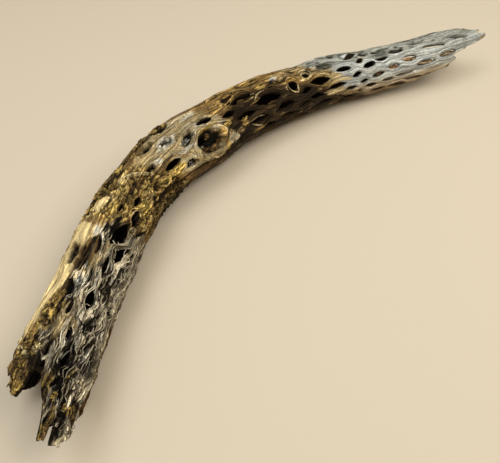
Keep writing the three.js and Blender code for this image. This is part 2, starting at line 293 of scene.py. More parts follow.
# The weave on the sides that hardly show: six holes to a ring, each ring turned a little.
def hiddenHoles():
    draw = np.random.default_rng(weave["seed"])
    through = []
    hollows = []
    lean, pitDepth, lip = weave["blindPit"]
    along, lastRing = weave["hiddenAlong"]
    ring = 0
    while along < lastRing:
        for k in range(weave["perRing"]):
            jitter = draw.uniform(-1, 1, 5)
            around = (ring * weave["turn"] + k * 360 / weave["perRing"] + 4 * jitter[0]) % 360
            at = along + 2.5 * jitter[1]
            size = 1 + 0.28 * jitter[2]
            length = float(between(weave["length"], at)) * size
            width = float(between(weave["width"], at)) * (1 + 0.25 * jitter[3]) * size ** 0.5
            nearEnd = straightBetween(ends["near"], wrapped(around)) + length / 2 + weave["clear"][0]
            farEnd = straightBetween(ends["far"], wrapped(around)) - length / 2 - weave["clear"][1]
            onFoot = any(abs(at - foot[0]) < foot[2] * weave["clearOfFoot"][0] for foot in feet)
            onFoot = onFoot and abs(around - 180) < weave["clearOfFoot"][1]
            inside = weave["hidden"][0] < around < weave["hidden"][1] and nearEnd < at < farEnd
            blind = weave["blind"][0] < around < weave["blind"][1]
            if inside and blind and not onFoot:
                hollows.append((at, around, length, width, lean, pitDepth + 1.5 * jitter[0], lip))
            elif inside and not onFoot:
                through.append((at, around, length, width, lean, 0.9))
        along += float(between(weave["ring"], along))
        ring += 1
    return through, hollows


def wallRadius(along):
    return between(limb["radii"], along)


# Each hole is a run of cells left out of the flat sheet. The weave is then spread round it.
def placeHoles(rows):
    holes = []
    for at, middle, length, width, lean, power in rows:
        radius = float(wallRadius(np.array(at)))
        column = int(np.searchsorted(columnLines, wrapped(middle))) - 1
        cellWide = (columnLines[column + 1] - columnLines[column]) * degree * radius
        opening = max(weave["leastOpening"], (width * degree * radius - cellWide) / 2)
        holes.append({"at": at, "round": middle, "slot": float(wrapped(middle)), "half": length / 2,
                      "open": opening, "lean": math.tan(lean * degree), "power": power,
                      "reach": weave["reach"][0] * opening + weave["reach"][1],
                      "edge": cellWide / 2, "seed": len(holes)})
    for turn in range(weave["settling"]):
        slots = np.array([hole["slot"] for hole in holes])
        ats = np.array([hole["at"] for hole in holes], float)
        for k, hole in enumerate(holes):
            others = holes[:k] + holes[k + 1:]
            push = spreadBy(others, ats[k:k + 1], slots[k:k + 1])[0]
            hole["slot"] = float(wrapped(hole["round"] - push))
    for hole in holes:
        hole["column"] = int(np.searchsorted(columnLines, hole["slot"])) - 1
        hole["slot"] = float(columnMiddles[hole["column"]])
    return holes


# How far the fibres are pushed round the limb by the holes, in degrees.
def spreadBy(holes, along, around):
    shift = np.zeros(np.shape(along))
    radius = wallRadius(along)
    for hole in holes:
        away = along - hole["at"]
        fadedOut = hole["half"] * weave["fade"]
        near = np.nonzero(np.abs(away) < fadedOut)[0]
        if len(near) == 0:
            continue
        away = away[near]
        arc = wrapped(around[near] - hole["slot"]) * degree * radius[near]
        beyond = np.abs(arc) / hole["reach"]
        keep = beyond < 1
        near, away, arc, beyond = near[keep], away[keep], arc[keep], beyond[keep]
        t = np.clip(np.abs(away) / hole["half"], 0, 1)
        side = np.sign(arc)
        own = np.full(len(away), hole["seed"] * 5.3)
        uneven = 1 + weave["uneven"] * noise(away / 5.5 + 40, side * 9.7 + 31, own, 70)
        lens = hole["open"] * (1 - t * t) ** hole["power"] * uneven
        fade = 1 - beyond * beyond * (3 - 2 * beyond)
        outside = smoothstep(hole["half"], fadedOut, np.abs(away))
        leaning = hole["lean"] * np.clip(away, -hole["half"], hole["half"]) * (1 - outside)
        shift[near] += (side * lens + leaning) * fade / radius[near] / degree
    return shift


# Distance in mm from the nearest hole's rim, measured in the flat sheet.
def rimDistance(holes, along, around):
    nearest = np.full(np.shape(along), 99.0)
    radius = wallRadius(along)
    for hole in holes:
        away = np.abs(along - hole["at"]) - hole["half"]
        near = np.nonzero(away < 14)[0]
        arc = np.abs(wrapped(around[near] - hole["slot"])) * degree * radius[near] - hole["edge"]
        far = np.hypot(np.clip(away[near], 0, None) * 0.55, np.clip(arc, 0, None))
        nearest[near] = np.minimum(nearest[near], far)
    return nearest


# Pulls the stepped edge at a torn end into a smooth line.
def easeEdges(bm, kept):
    border = [v for v in bm.verts if v.is_boundary and not kept(v)]
    beside = {v: [e.other_vert(v) for e in v.link_edges if e.is_boundary] for v in border}
    for turn in range(5):
        moved = {v: sum((o.co for o in beside[v]), v.co * 0) / len(beside[v]) for v in border}
        for v, co in moved.items():
            v.co = v.co.lerp(co, 0.5)


# The flat sheet: rows of cells along the limb, with the holes and the torn ends taken out.
def flatSheet(holes):
    bm = bmesh.new()
    columns = weave["columns"]
    bmesh.ops.create_grid(bm, x_segments=weave["rows"], y_segments=columns, size=0.5)
    for v in bm.verts:
        v.co.x = weave["from"] + (v.co.x + 0.5) * (weave["to"] - weave["from"])
        v.co.y = columnLines[round((v.co.y + 0.5) * columns)]
    slotRows = {}
    for hole in holes:
        slot = (hole["at"] - hole["half"], hole["at"] + hole["half"])
        slotRows.setdefault(hole["column"], []).append(slot)
    level = np.zeros(columns)
    uneven = barkNoise(level, columnMiddles, 9, 3.2, 40) + 0.7 * barkNoise(level, columnMiddles, 9, 1.6, 41)
    first, last = [straightBetween(ends[name], columnMiddles) + rag * uneven
                   for name, rag in zip(("near", "far"), ends["rag"])]
    gone = []
    for face in bm.faces:
        centre = face.calc_center_median()
        column = min(columns - 1, int(np.searchsorted(columnLines, centre.y)) - 1)
        if not first[column] < centre.x < last[column]:
            gone.append(face)
        elif any(low < centre.x < high for low, high in slotRows.get(column, ())):
            gone.append(face)
    bmesh.ops.delete(bm, geom=gone, context="FACES")
    # The two long edges are one and the same line, under the limb
    left = {round(v.co.x, 3): v for v in bm.verts if v.co.y < -179.99}
    right = {v: left[round(v.co.x, 3)] for v in bm.verts if v.co.y > 179.99}
    bmesh.ops.weld_verts(bm, targetmap=right)
    loose = [v for v in bm.verts if not v.link_faces]
    bmesh.ops.delete(bm, geom=loose, context="VERTS")

    def kept(v):
        nearEnd = straightBetween(ends["near"], v.co.y)
        farEnd = straightBetween(ends["far"], v.co.y)
        return min(v.co.x - nearEnd, farEnd - v.co.x) > 14 or v.co.y < -179
    easeEdges(bm, kept)
    return bm


# The wall: the sheet is doubled, its rims are joined and the rim faces are cut across.
def thicken(bm):
    inner = list(bm.faces)
    made = bmesh.ops.extrude_face_region(bm, geom=inner, use_keep_orig=True)
    outer = {v for v in made["geom"] if isinstance(v, bmesh.types.BMVert)}
    for v in bm.verts:
        v.co.z = 0 if v in outer else -1
    bmesh.ops.reverse_faces(bm, faces=inner)
    across = [e for e in bm.edges if abs(e.verts[0].co.z - e.verts[1].co.z) > 0.5]
    bmesh.ops.subdivide_edges(bm, edges=across, cuts=2)
    return bm


openRows, hollowRows = hiddenHoles()
holes = placeHoles(openHoles + splits + openRows)
allPits = pits + hollowRows
print("stage: weave placed,", len(holes), "holes and", len(allPits), "pits")


# Each pit's own measure: 0 in its middle and 1 at its rim.
def pitReach(row, along, around):
    at, middle, length, width, lean = row[:5]
    radius = float(wallRadius(np.array(at)))
    x = along - at
    y = wrapped(around - middle) * degree * radius
    turn = lean * degree
    u = x * math.cos(turn) + y * math.sin(turn)
    v = y * math.cos(turn) - x * math.sin(turn)
    return np.hypot(u / (length / 2), v / (width * degree * radius / 2))


# The strands' shoulders at each open hole, along the limb: how far they drop, and their width.
shoulders = {"drop": [(0, 2.2), (420, 2.8), (540, 1.3), (760, 1.0)],
             "width": [(0, 3.6), (420, 5.4), (540, 2.8), (760, 2.4)]}
fullyDeep = 4.5          # mm, the depth from which a pit's painted shade is as dark as can be
knotRow = (knot["at"], knot["round"], knot["long"] * 2, knot["wide"] * 2 / knot["limb"] / degree, 0)


# The grain parts round each pit and the knot, so its lines are bent there.
def grainRound(along, around, flat):
    grain = np.array(flat)
    for row in allPits + [knotRow]:
        far = pitReach(row, along, around)
        near = far < 2.4
        arc = wrapped(around[near] - row[1])
        push = np.tanh(arc / (row[3] * 0.22)) * row[3] / 2
        grain[near] -= push * np.exp(-(np.clip(far[near] - 0.6, 0, None) ** 2) * 1.6)
    return grain


# How the wood has weathered. Patches are reach along in mm, reach round in degrees, strength.
weather = {
    # where grey takes over from honey, as pairs of round and along
    "greyFrom": [(-180, 545), (-120, 500), (-60, 474), (0, 480), (14, 496), (26, 520), (40, 527),
                 (60, 532), (85, 540), (100, 560), (140, 590), (180, 545)],
    # where dark wood takes over from honey, as pairs of along and round
    "darkFrom": [(180, 128), (205, 100), (250, 95), (300, 100), (332, 98), (346, 56), (356, 20),
                 (368, 8), (400, 10), (420, 18), (440, 25), (470, 36), (490, 50), (510, 70),
                 (530, 92), (560, 106), (600, 120), (650, 140)],
    "frayed": [(60, 62, 150, 50, 1.5), (0, 60, 70, 52, 1.5), (120, 88, 90, 44, 1.3),
               (140, 34, 50, 26, 1.3), (44, 22, 44, 17, 1.2), (94, 18, 24, 16, 1.3),
               (44, -4, 24, 15, 1.5), (70, 4, 26, 15, 1.5), (26, 6, 18, 14, 1.4),
               (152, 16, 26, 15, 1.6), (92, 4, 40, 18, 1.5), (84, 30, 74, 26, 1.4),
               (60, 12, 20, 12, 0.9)],
    # smooth tan sheets among the frayed strands
    "sheets": [(55, 8, 22, 11, 1.3), (66, 14, 13, 7, 1.3), (61, 22, 9, 7, 1.2), (70, 6, 12, 5, 1.2)],
    "crustFrom": 160, "crustTo": 226,
    "bark": [(14, -26, 44, 44, 1.6), (62, -13, 34, 25, 1.5), (76, -10, 20, 20, 1.3),
             (28, -110, 60, 60, 1.3), (186, 62, 14, 12, 0.8), (-22, 46, 22, 8, 1.5),
             (0, 26, 26, 9, 1.2), (245, -38, 90, 24, 1.3), (122, -25, 15, 15, 1.2)],
    "bare": [(100, -42, 90, 44, 1.8), (142, -30, 42, 30, 1.5), (178, -17, 17, 13, 1.3),
             (100, -24, 30, 20, 1.3), (148, -3, 12, 12, 1.0)]
            # and the slanting ridge across the crust
            + [(at, middle, 5, 4, 1.3) for at, middle in
               ((208, -6), (211, -1), (214, 4), (217, 8), (220, 13), (223, 18), (226, 22),
                (229, 27), (232, 32))],
    "swirl": [(290, 10, 70, 52, 1.7), (248, 10, 34, 36, 1.4), (330, 56, 40, 56, 1.5),
              (300, 66, 50, 30, 1.3)],
    "honey": [(420, -16, 130, 40, 1.6), (470, 10, 70, 30, 1.3), (505, 42, 34, 26, 1.3),
              (540, 90, 60, 16, 1.1), (350, 6, 26, 18, 1.2)],
}


# The zones at each place, each from 0 to 1, and the two noises that break up their edges.
def weathering(along, around):
    wander = barkNoise(along, around, 30, 14, 60, 2)
    small = barkNoise(along, around, 7, 4, 63, 2)
    broken = 0.22 * wander + 0.2 * small

    def spots(name):
        return smoothstep(0.35, 0.65, patches(weather[name], along, around) + broken)

    side = wrapped(around)
    greyFrom = straightBetween(weather["greyFrom"], side)
    bleach = smoothstep(-14, 12, along - greyFrom + 9 * wander + 6 * small)
    start = along + 7 * wander + 4 * small - 0.2 * np.clip(side, -60, 60)
    crust = smoothstep(weather["crustFrom"] - 6, weather["crustFrom"] + 8, start)
    end = along - 0.5 * np.clip(side, -40, 90) + 8 * wander + 4 * small
    crust *= 1 - smoothstep(weather["crustTo"] - 8, weather["crustTo"] + 12, end)
    frayed = spots("frayed") * (1 - smoothstep(148, 176, along + 6 * small)) * (1 - crust)
    frayed = frayed * (1 - 0.75 * spots("sheets"))
    bark = spots("bark") * (1 - bleach)
    bare = spots("bare") * (1 - bleach)
    swirl = spots("swirl") * (1 - crust)
    darkFrom = straightBetween(weather["darkFrom"], along + 9 * wander + 6 * small)
    dark = smoothstep(-6, 8, side - darkFrom + 9 * wander + 5 * small)
    dark = np.where((along < 172) | (side < 0), 0, dark) * (1 - bleach)
    fading = np.abs(along + 9 * wander + 5 * small - greyFrom + 8)
    return {"wander": wander, "small": small, "bleach": bleach, "frayed": frayed,
            "crust": crust * (1 - 0.85 * bare), "bark": bark, "bare": bare, "swirl": swirl,
            "dark": dark, "honey": spots("honey") * (1 - bleach),
            "fading": 1 - smoothstep(8, 30, fading)}


# The larger forms: swellings, lumps, holes' shoulders, pits and the knot, as the height above the
# plain taper in mm and how deep each place is from 0 to 1, which sets how dark it is painted as shade.
def broadForm(along, around, rim, small):
    height = np.zeros(np.shape(along))
    for at, middle, reachAlong, reachRound, rise in limb["swellings"]:
        height += rise * bump(along, around, at, middle, reachAlong, reachRound)
    height += 1.1 * barkNoise(along, around, 34, 17, 3, 2)
    for at, middle, length, width, rise, lean in raised:
        form = pitReach((at, middle, length, width / meanRadius / degree, lean), along, around)
        height += rise * np.clip(1 - form * form, 0, 1) ** 1.2
    shoulderWidth = between(shoulders["width"], along)
    height -= between(shoulders["drop"], along) * (1 - smoothstep(0, 1, rim / shoulderWidth)) ** 1.4
    # Painted shade at the holes' rims, and in each pit and the knot's hollow as deep as it goes
    deep = 0.5 * (1 - smoothstep(0, 1.2, rim))
    for row in allPits:
        pitDepth, lip = row[5:7]
        far = pitReach(row, along, around) + 0.22 * small
        near = far < 1.9
        inside = 1 - smoothstep(0.72, 1.03, far[near])
        height[near] += lip * np.exp(-((far[near] - 1.16) / 0.17) ** 2) - pitDepth * inside
        deep[near] = np.maximum(deep[near], inside * min(1, pitDepth / fullyDeep))
    ring = pitReach(knotRow, along, around) + 0.08 * small
    hollow = 1 - smoothstep(0.66, 0.93, ring)
    height += knot["rim"] * np.exp(-((ring - 1.07) / 0.18) ** 2) - knot["floor"] * hollow
    return height, np.maximum(deep, 0.95 * hollow)


# The whole outer surface: broad forms, grain and crust, and the noises that its colour follows.
def outerForm(along, around, flat, masks):
    frayed, crust, bare, bark = [masks[name] for name in ("frayed", "crust", "bare", "bark")]
    small = masks["small"]
    grain = grainRound(along, around, flat)
    rim = rimDistance(holes, along, flat)
    height, deep = broadForm(along, around, rim, small)
    # Floors of dried tissue are rough and have no grain
    tissue = np.clip(deep, 0, 1) * (rim > 1)
    height += tissue * 1.6 * barkNoise(along, around, 3.6, 3.2, 21, 2)
    firm = 1 - tissue
    # Grain: low ridges everywhere, deep cords where the wood is frayed
    bend = grain + (2 + 8 * frayed) * barkNoise(along, around, 22, 12, 8, 2)
    fine = barkNoise(along, bend, 22, 2.0, 12, 2)
    cords = 1 - np.abs(barkNoise(along, bend, 20, 3.1, 15, 2)) * 2.2
    height += fine * (0.3 + 0.35 * bark - 0.15 * bare) * firm
    height += cords * (1.2 * frayed + 0.2 * (1 - bare)) * firm
    gap = smoothstep(0.02, 0.3, barkNoise(along, bend, 15, 2.9, 17, 2)) * frayed
    height -= 2.6 * gap * firm
    height += 1.5 * frayed * barkNoise(along, around, 12, 6.5, 44, 2)
    # Crust in flowing folds, broken into lumps with dark cracks between them
    drift = barkNoise(along, around, 16, 10, 46, 2)
    folds = np.sin(17 * barkNoise(along + 4 * small, around + 9 * drift, 26, 13, 72, 2) + 2 * small)
    crack, value = barkLumps(along + 4 * drift, around + 7 * small, 12, 6, 30)
    chips, tone = barkLumps(along + 2 * drift, around + 4 * small, 5.2, 2.8, 34)
    sheets, sheet = barkLumps(along + 6 * drift, bend + 4 * drift, 36, 4.6, 38)
    crumbly = np.clip(0.45 * crust + bark, 0, 1)
    shaken = np.clip(masks["honey"] + 0.5 * masks["dark"], 0, 1)
    height += crust * 1.3 * folds * firm
    height += shaken * (0.7 * smoothstep(0.0, 0.3, sheets) - 0.4 + 0.8 * (sheet - 0.5)) * firm
    height += crumbly * (1.5 * smoothstep(0.02, 0.4, crack) - 0.8 + 2.0 * (value - 0.5)) * firm
    height += (crumbly + 0.4 * crust) * 0.5 * (smoothstep(0.02, 0.4, chips) - 0.85 + 0.7 * tone) * firm
    height += 0.3 * barkNoise(along, around, 3.2, 2.6, 33, 2) * (1 - 0.7 * bare)
    opened = smoothstep(-0.5, 0.4, drift + 0.4 * small)
    valley = smoothstep(0.25, 1.0, -fine) * 0.5 * (1 - 0.7 * masks["bleach"])
    # Painted shade in the recesses: strand gaps, cracks between lumps, chips and sheets, fold valleys and
    # grain valleys. The darkest lumps and the thin lines along the folds' middles are the wood's own dark.
    deep = np.maximum.reduce([
        deep,
        0.9 * gap,
        crumbly * 0.95 * (1 - smoothstep(0.03, 0.17, crack)) * opened,
        (crumbly + 0.3 * crust) * 0.6 * (1 - smoothstep(0.0, 0.2, chips)) * opened,
        (crumbly + 0.4 * crust) * 0.9 * (1 - smoothstep(0.0, 0.18, value)),
        crust * 0.8 * smoothstep(-0.55, -0.95, folds) * opened,
        crust * 0.8 * (1 - smoothstep(0.04, 0.3, np.abs(folds))),
        shaken * 0.85 * (1 - smoothstep(0.03, 0.18, sheets)) * opened,
        valley + smoothstep(-0.1, 0.7, -cords) * 0.9 * frayed,
    ])
    return {"height": height, "deep": np.clip(deep, 0, 1), "grain": grain, "fine": fine,
            "cords": cords, "rim": rim, "tone": tone, "sheet": sheet, "drift": drift,
            "folds": folds, "crumbly": crumbly}


# Distance in mm from the torn ends, negative past them.
def endDistance(along, around):
    nearEnd = along - straightBetween(ends["near"], wrapped(around))
    farEnd = straightBetween(ends["far"], wrapped(around)) - along
    return nearEnd, farEnd


palette = {
    "wood": (0.19, 0.118, 0.042),
    "honey": (0.46, 0.29, 0.088),
    "honeyPale": (0.46, 0.345, 0.16),
    "honeyShade": (0.095, 0.052, 0.015),
    "bare": (0.90, 0.71, 0.345),
    "swirl": (0.52, 0.405, 0.205),
    "white": (0.80, 0.75, 0.59),
    "silver": (0.66, 0.70, 0.675),
    "pale": (0.44, 0.445, 0.395),
    "grey": (0.36, 0.365, 0.31),
    "greyShade": (0.085, 0.088, 0.066),
    "beige": (0.40, 0.31, 0.19),
    "cord": (0.75, 0.63, 0.415),
    "crust": (0.70, 0.49, 0.135),
    "crustShade": (0.16, 0.09, 0.024),
    "amber": (0.42, 0.265, 0.08),
    "bark": (0.21, 0.13, 0.045),
    # near-black brown, for the wood's own dark and for painted shade in recesses and on undersides
    "darkWoodAndShade": (0.024, 0.015, 0.007),
    "umber": (0.13, 0.072, 0.022),
    # the brown and the tan of the floor seen in shade through the far holes, painted on plugs
    "shadedFloorBrown": (0.62, 0.36, 0.16),
    "tan": (0.78, 0.58, 0.34),
    "flake": (0.52, 0.45, 0.29),
    "black": (0.004, 0.003, 0.002),
}

# Patches of colour, laid in this order: length in mm, width in degrees, lean, strength.
# The black and near-black strokes paint the shade in the gaps, holes, pits and cracks that they lie on,
# together with the wood's own dark.
strokes = [
    ("amber", 74, -12, 26, 24, 0, 1.2), ("amber", 44, -26, 20, 16, -30, 1.1),
    ("bare", 29, -28, 16, 8, -57, 1.2), ("crust", 1, -12, 11, 12, 0, 1.1), ("bare", 30, -4, 9, 13, 0, 1.4),
    ("darkWoodAndShade", 23, -1, 10, 20, 0, 1.3), ("white", 44, -7, 17, 17, 10, 1.4), ("cord", 36, 2, 16, 8, 0, 1.0),
    ("darkWoodAndShade", 35, 9, 16, 7, 0, 1.2), ("black", 32, 7, 18, 14, 0, 1.1), ("cord", 24, 19, 38, 13, -8, 1.3),
    ("white", 26, 18, 30, 6, -8, 1.1), ("darkWoodAndShade", 19, 31, 24, 7, 0, 1.3), ("darkWoodAndShade", 28, 38, 28, 18, 8, 1.2),
    ("darkWoodAndShade", 8, 38, 18, 11, 0, 1.1), ("honeyPale", 52, 11, 22, 13, 0, 1.4),
    ("amber", 56, 30, 12, 5, 0, 1.3), ("darkWoodAndShade", 47, 26, 17, 9, 0, 1.2), ("darkWoodAndShade", 68, 9, 14, 9, 0, 1.2),
    ("darkWoodAndShade", 90, 0, 17, 18, 0, 1.3), ("white", 97, 14, 30, 14, 8, 0.95), ("darkWoodAndShade", 84, 37, 24, 16, 0, 1.0),
    ("bark", -24, 49, 14, 16, 0, 1.5), ("white", 7, 36, 12, 4, 0, 1.2), ("bark", -4, 27, 34, 8, -25, 1.5),
    ("darkWoodAndShade", -14, 55, 14, 10, 0, 1.3), ("black", 29, 36, 24, 18, 0, 1.2), ("black", 47, 26, 17, 11, 0, 1.1),
    ("black", 83, 36, 18, 15, 0, 1.0), ("black", 60, 47, 14, 13, 0, 1.0), ("black", 92, -3, 19, 15, 0, 1.1),
    ("black", 9, 41, 17, 10, 0, 1.0), ("darkWoodAndShade", -4, 74, 18, 26, 0, 1.0), ("flake", -22, 74, 14, 20, 0, 1.3),
    ("umber", -14, 84, 12, 14, 0, 1.1), ("crust", -5, 71, 8, 12, 0, 1.2), ("cord", 15, 70, 18, 22, 0, 1.3),
    ("white", 20, 64, 22, 12, 10, 0.9), ("white", 34, 58, 30, 10, 10, 0.9),
    ("darkWoodAndShade", 50, 63, 16, 8, 30, 1.1), ("darkWoodAndShade", 63, 47, 12, 10, 0, 1.1), ("darkWoodAndShade", 96, 57, 22, 10, 0, 1.2),
    ("darkWoodAndShade", 80, 78, 14, 9, 0, 1.1), ("white", 112, 66, 30, 10, 8, 0.9), ("black", 124, -1, 44, 16, 4, 1.1),
    ("black", 133, 12, 22, 8, -6, 1.3), ("black", 253, -8, 19, 14, 0, 1.0), ("pale", 96, 6, 30, 14, 0, 1.0),
    ("darkWoodAndShade", 74, 8, 14, 12, 0, 1.1), ("cord", 52, 48, 40, 10, 0, 0.8), ("umber", 122, -26, 21, 20, 0, 1.3),
    ("swirl", 55, 9, 24, 13, 6, 1.7), ("swirl", 66, 15, 16, 8, 20, 1.4), ("swirl", 62, 22, 12, 6, -20, 1.2),
    ("darkWoodAndShade", 40, -14, 8, 8, 0, 1.0), ("cord", 76, 21, 42, 9, 6, 1.2), ("darkWoodAndShade", 119, -23, 11, 10, 20, 1.2),
    ("honeyPale", 149, -4, 14, 18, -20, 1.5), ("white", 148, -1, 12, 12, 0, 1.3),
    ("swirl", 128, 24, 46, 11, 6, 1.2), ("swirl", 117, 17, 30, 11, 4, 1.3),
    ("white", 150, 60, 20, 14, 0, 0.9), ("cord", 156, 74, 26, 18, 10, 1.1),
    ("umber", 160, -25, 9, 34, 20, 1.2), ("bare", 174, -22, 15, 11, 40, 1.5),
    ("bare", 181, -12, 18, 10, 30, 1.5), ("umber", 191, -22, 6, 30, 20, 1.2),
    ("crust", 176, 8, 15, 12, 0, 1.3), ("crust", 190, 26, 24, 14, 0, 1.3),
    ("crust", 192, 53, 18, 22, 0, 1.4), ("crust", 175, 68, 13, 15, 25, 1.7),
    ("bare", 174, 66, 9, 9, 25, 1.0), ("flake", 158, 53, 17, 12, 10, 1.5),
    ("black", 164, 52, 10, 4, 8, 1.3), ("black", 166, 68, 30, 6, 35, 1.3),
    ("black", 178, 51, 16, 19, 0, 1.4), ("black", 158, 22, 24, 12, 12, 1.0),
    ("darkWoodAndShade", 216, -20, 12, 16, 30, 1.2), ("umber", 223, -2, 9, 11, 0, 1.3),
    ("crustShade", 222, 20, 42, 7, 43, 1.2), ("bare", 220, 13, 44, 5, 43, 1.5),
    ("darkWoodAndShade", 224, 52, 12, 8, 0, 1.1), ("darkWoodAndShade", 211, 61, 9, 6, 0, 1.0), ("darkWoodAndShade", 228, 77, 56, 10, 5, 1.3),
    ("umber", 201, 20, 14, 9, 0, 1.0), ("crust", 262, 60, 30, 15, 4, 1.6),
    ("crust", 238, 57, 26, 9, 8, 1.2), ("honeyPale", 240, 2, 26, 24, 0, 0.9),
    ("white", 273, 12, 27, 22, 0, 1.4), ("darkWoodAndShade", 272, 11, 17, 4, 18, 1.5),
    ("grey", 292, 34, 15, 12, 0, 1.0), ("darkWoodAndShade", 295, 30, 13, 3, -20, 1.4), ("darkWoodAndShade", 237, 25, 12, 9, 0, 1.2),
    ("white", 249, 25, 10, 12, 0, 0.9), ("white", 316, 18, 10, 13, 0, 1.5),
    ("white", 325, 24, 18, 5, 0, 1.3), ("white", 318, -9, 26, 11, -15, 1.2),
    ("white", 288, 44, 28, 8, 0, 1.2), ("crust", 322, 33, 34, 8, 0, 1.1),
    ("crust", 347, 46, 13, 12, 0, 1.4), ("crust", 338, 84, 8, 24, 0, 1.3),
    ("flake", 348, 74, 19, 20, 30, 1.7), ("darkWoodAndShade", 312, 93, 36, 5, 20, 1.2),
    ("darkWoodAndShade", 355, 58, 18, 10, 10, 1.2), ("crust", 376, 55, 12, 7, 0, 1.5),
    ("honey", 373, 64, 12, 7, 0, 1.3), ("crustShade", 388, 66, 14, 7, 0, 1.2),
    ("black", 381, 12, 34, 13, -6, 1.1), ("honeyPale", 392, 25, 20, 6, 10, 1.2),
    ("honey", 368, 12, 40, 5, -22, 1.2), ("umber", 412, 57, 30, 7, 0, 1.2),
    ("honey", 396, 90, 30, 11, 10, 0.9), ("crust", 414, 11, 18, 12, 0, 1.3),
    ("pale", 434, 7, 16, 14, -20, 1.1), ("white", 438, 3, 8, 11, -40, 0.7), ("darkWoodAndShade", 429, 9, 13, 4, 0, 1.0),
    ("honeyPale", 446, 2, 16, 14, 0, 0.9), ("darkWoodAndShade", 430, 14, 13, 6, 10, 1.1),
    ("black", 371, -2, 21, 9, -10, 1.1), ("black", 365, 12, 13, 6, -10, 1.0),
    ("umber", 394, -20, 10, 30, 30, 1.1), ("honey", 403, -16, 14, 26, 20, 1.3),
    ("honey", 467, 4, 15, 10, 0, 1.3), ("honeyPale", 450, 12, 24, 10, 10, 1.1),
    ("swirl", 449, 33, 7, 20, 0, 1.2), ("bare", 479, 19, 18, 29, 0, 1.7), ("umber", 487, 7, 7, 14, 30, 1.6),
    ("honey", 337, 62, 9, 40, 0, 1.2), ("honeyPale", 320, 85, 34, 9, 8, 1.1),
    ("honeyPale", 505, 33, 46, 15, 22, 1.4), ("swirl", 522, 82, 56, 18, 8, 1.5),
    ("swirl", 530, 54, 40, 12, 10, 1.2), ("umber", 286, 88, 90, 9, 5, 1.0),
    ("honeyPale", 470, -6, 30, 14, 0, 1.0), ("silver", 541, -3, 12, 14, -30, 1.6),
    ("black", 552, -2, 19, 18, -38, 1.2), ("greyShade", 508, 12, 25, 17, 8, 1.4),
    ("darkWoodAndShade", 512, 20, 14, 5, 10, 1.2), ("darkWoodAndShade", 504, 8, 14, 4, 10, 0.9), ("darkWoodAndShade", 496, -12, 11, 12, 0, 0.8),
    ("darkWoodAndShade", 525, -12, 11, 13, 0, 0.9), ("greyShade", 537, 0, 7, 12, 0, 1.2),
    ("umber", 513, -20, 10, 16, 0, 1.1), ("honeyPale", 561, 18, 15, 17, -30, 1.2),
    ("black", 561, 17, 10, 11, -30, 1.3), ("greyShade", 569, 2, 16, 12, 0, 1.7),
    ("darkWoodAndShade", 585, 1, 8, 10, 0, 1.0), ("greyShade", 590, 14, 30, 9, 4, 1.1),
    ("darkWoodAndShade", 603, -9, 12, 12, 0, 1.0), ("greyShade", 650, 2, 24, 9, 0, 1.1),
    ("greyShade", 706, 23, 32, 13, 12, 1.2), ("flake", 742, 26, 10, 12, 0, 1.1),
    ("amber", 747, 49, 12, 11, 0, 1.0), ("umber", 723, 6, 10, 9, 0, 1.2), ("umber", 688, 94, 12, 9, 0, 1.4),
    ("umber", 655, 101, 14, 9, 0, 1.3), ("greyShade", 713, 60, 10, 7, 0, 1.2),
]


# Pits that dried tissue fills to near their rims, seen pale in the dark.
filledPits = [(273, 15, 13, 10, 1.0), (292, 33, 9, 7, 0.8), (238, 27, 6, 5, 0.6)]


def mixed(colour, other, share):
    share = np.clip(share, 0, 1)[:, None]
    return colour * (1 - share) + np.array(palette[other]) * share


# How a stroke of colour covers: its spread, and the most that it hides of what is under it.
strokeCover = {"dark": (1.5, 0.985), "light": (0.9, 0.92)}


# Lays the strokes over the zones, in their order.
def layStrokes(colour, along, around, masks, form, strand):
    small, frayed = masks["small"], masks["frayed"]
    for name, at, middle, length, width, lean, strength in strokes:
        spread, most = strokeCover["dark" if name in ("black", "darkWoodAndShade") else "light"]
        reach = pitReach((at, middle, length * 1.1, width * 1.1, lean), along, around)
        near = reach < 1.6
        reach = reach[near] + 0.32 * small[near] + 0.22 * form["cords"][near] * frayed[near]
        level = spread * strength * (1 - reach ** 2) + 0.5 * form["fine"][near]
        share = smoothstep(0.1, 0.85, level) * most
        # Pale strokes leave the painted shade in the gaps between frayed strands
        if name in ("white", "cord", "pale"):
            share = share * (1 - 0.85 * frayed[near] * (1 - strand[near]))
        colour[near] = mixed(colour[near], name, share)
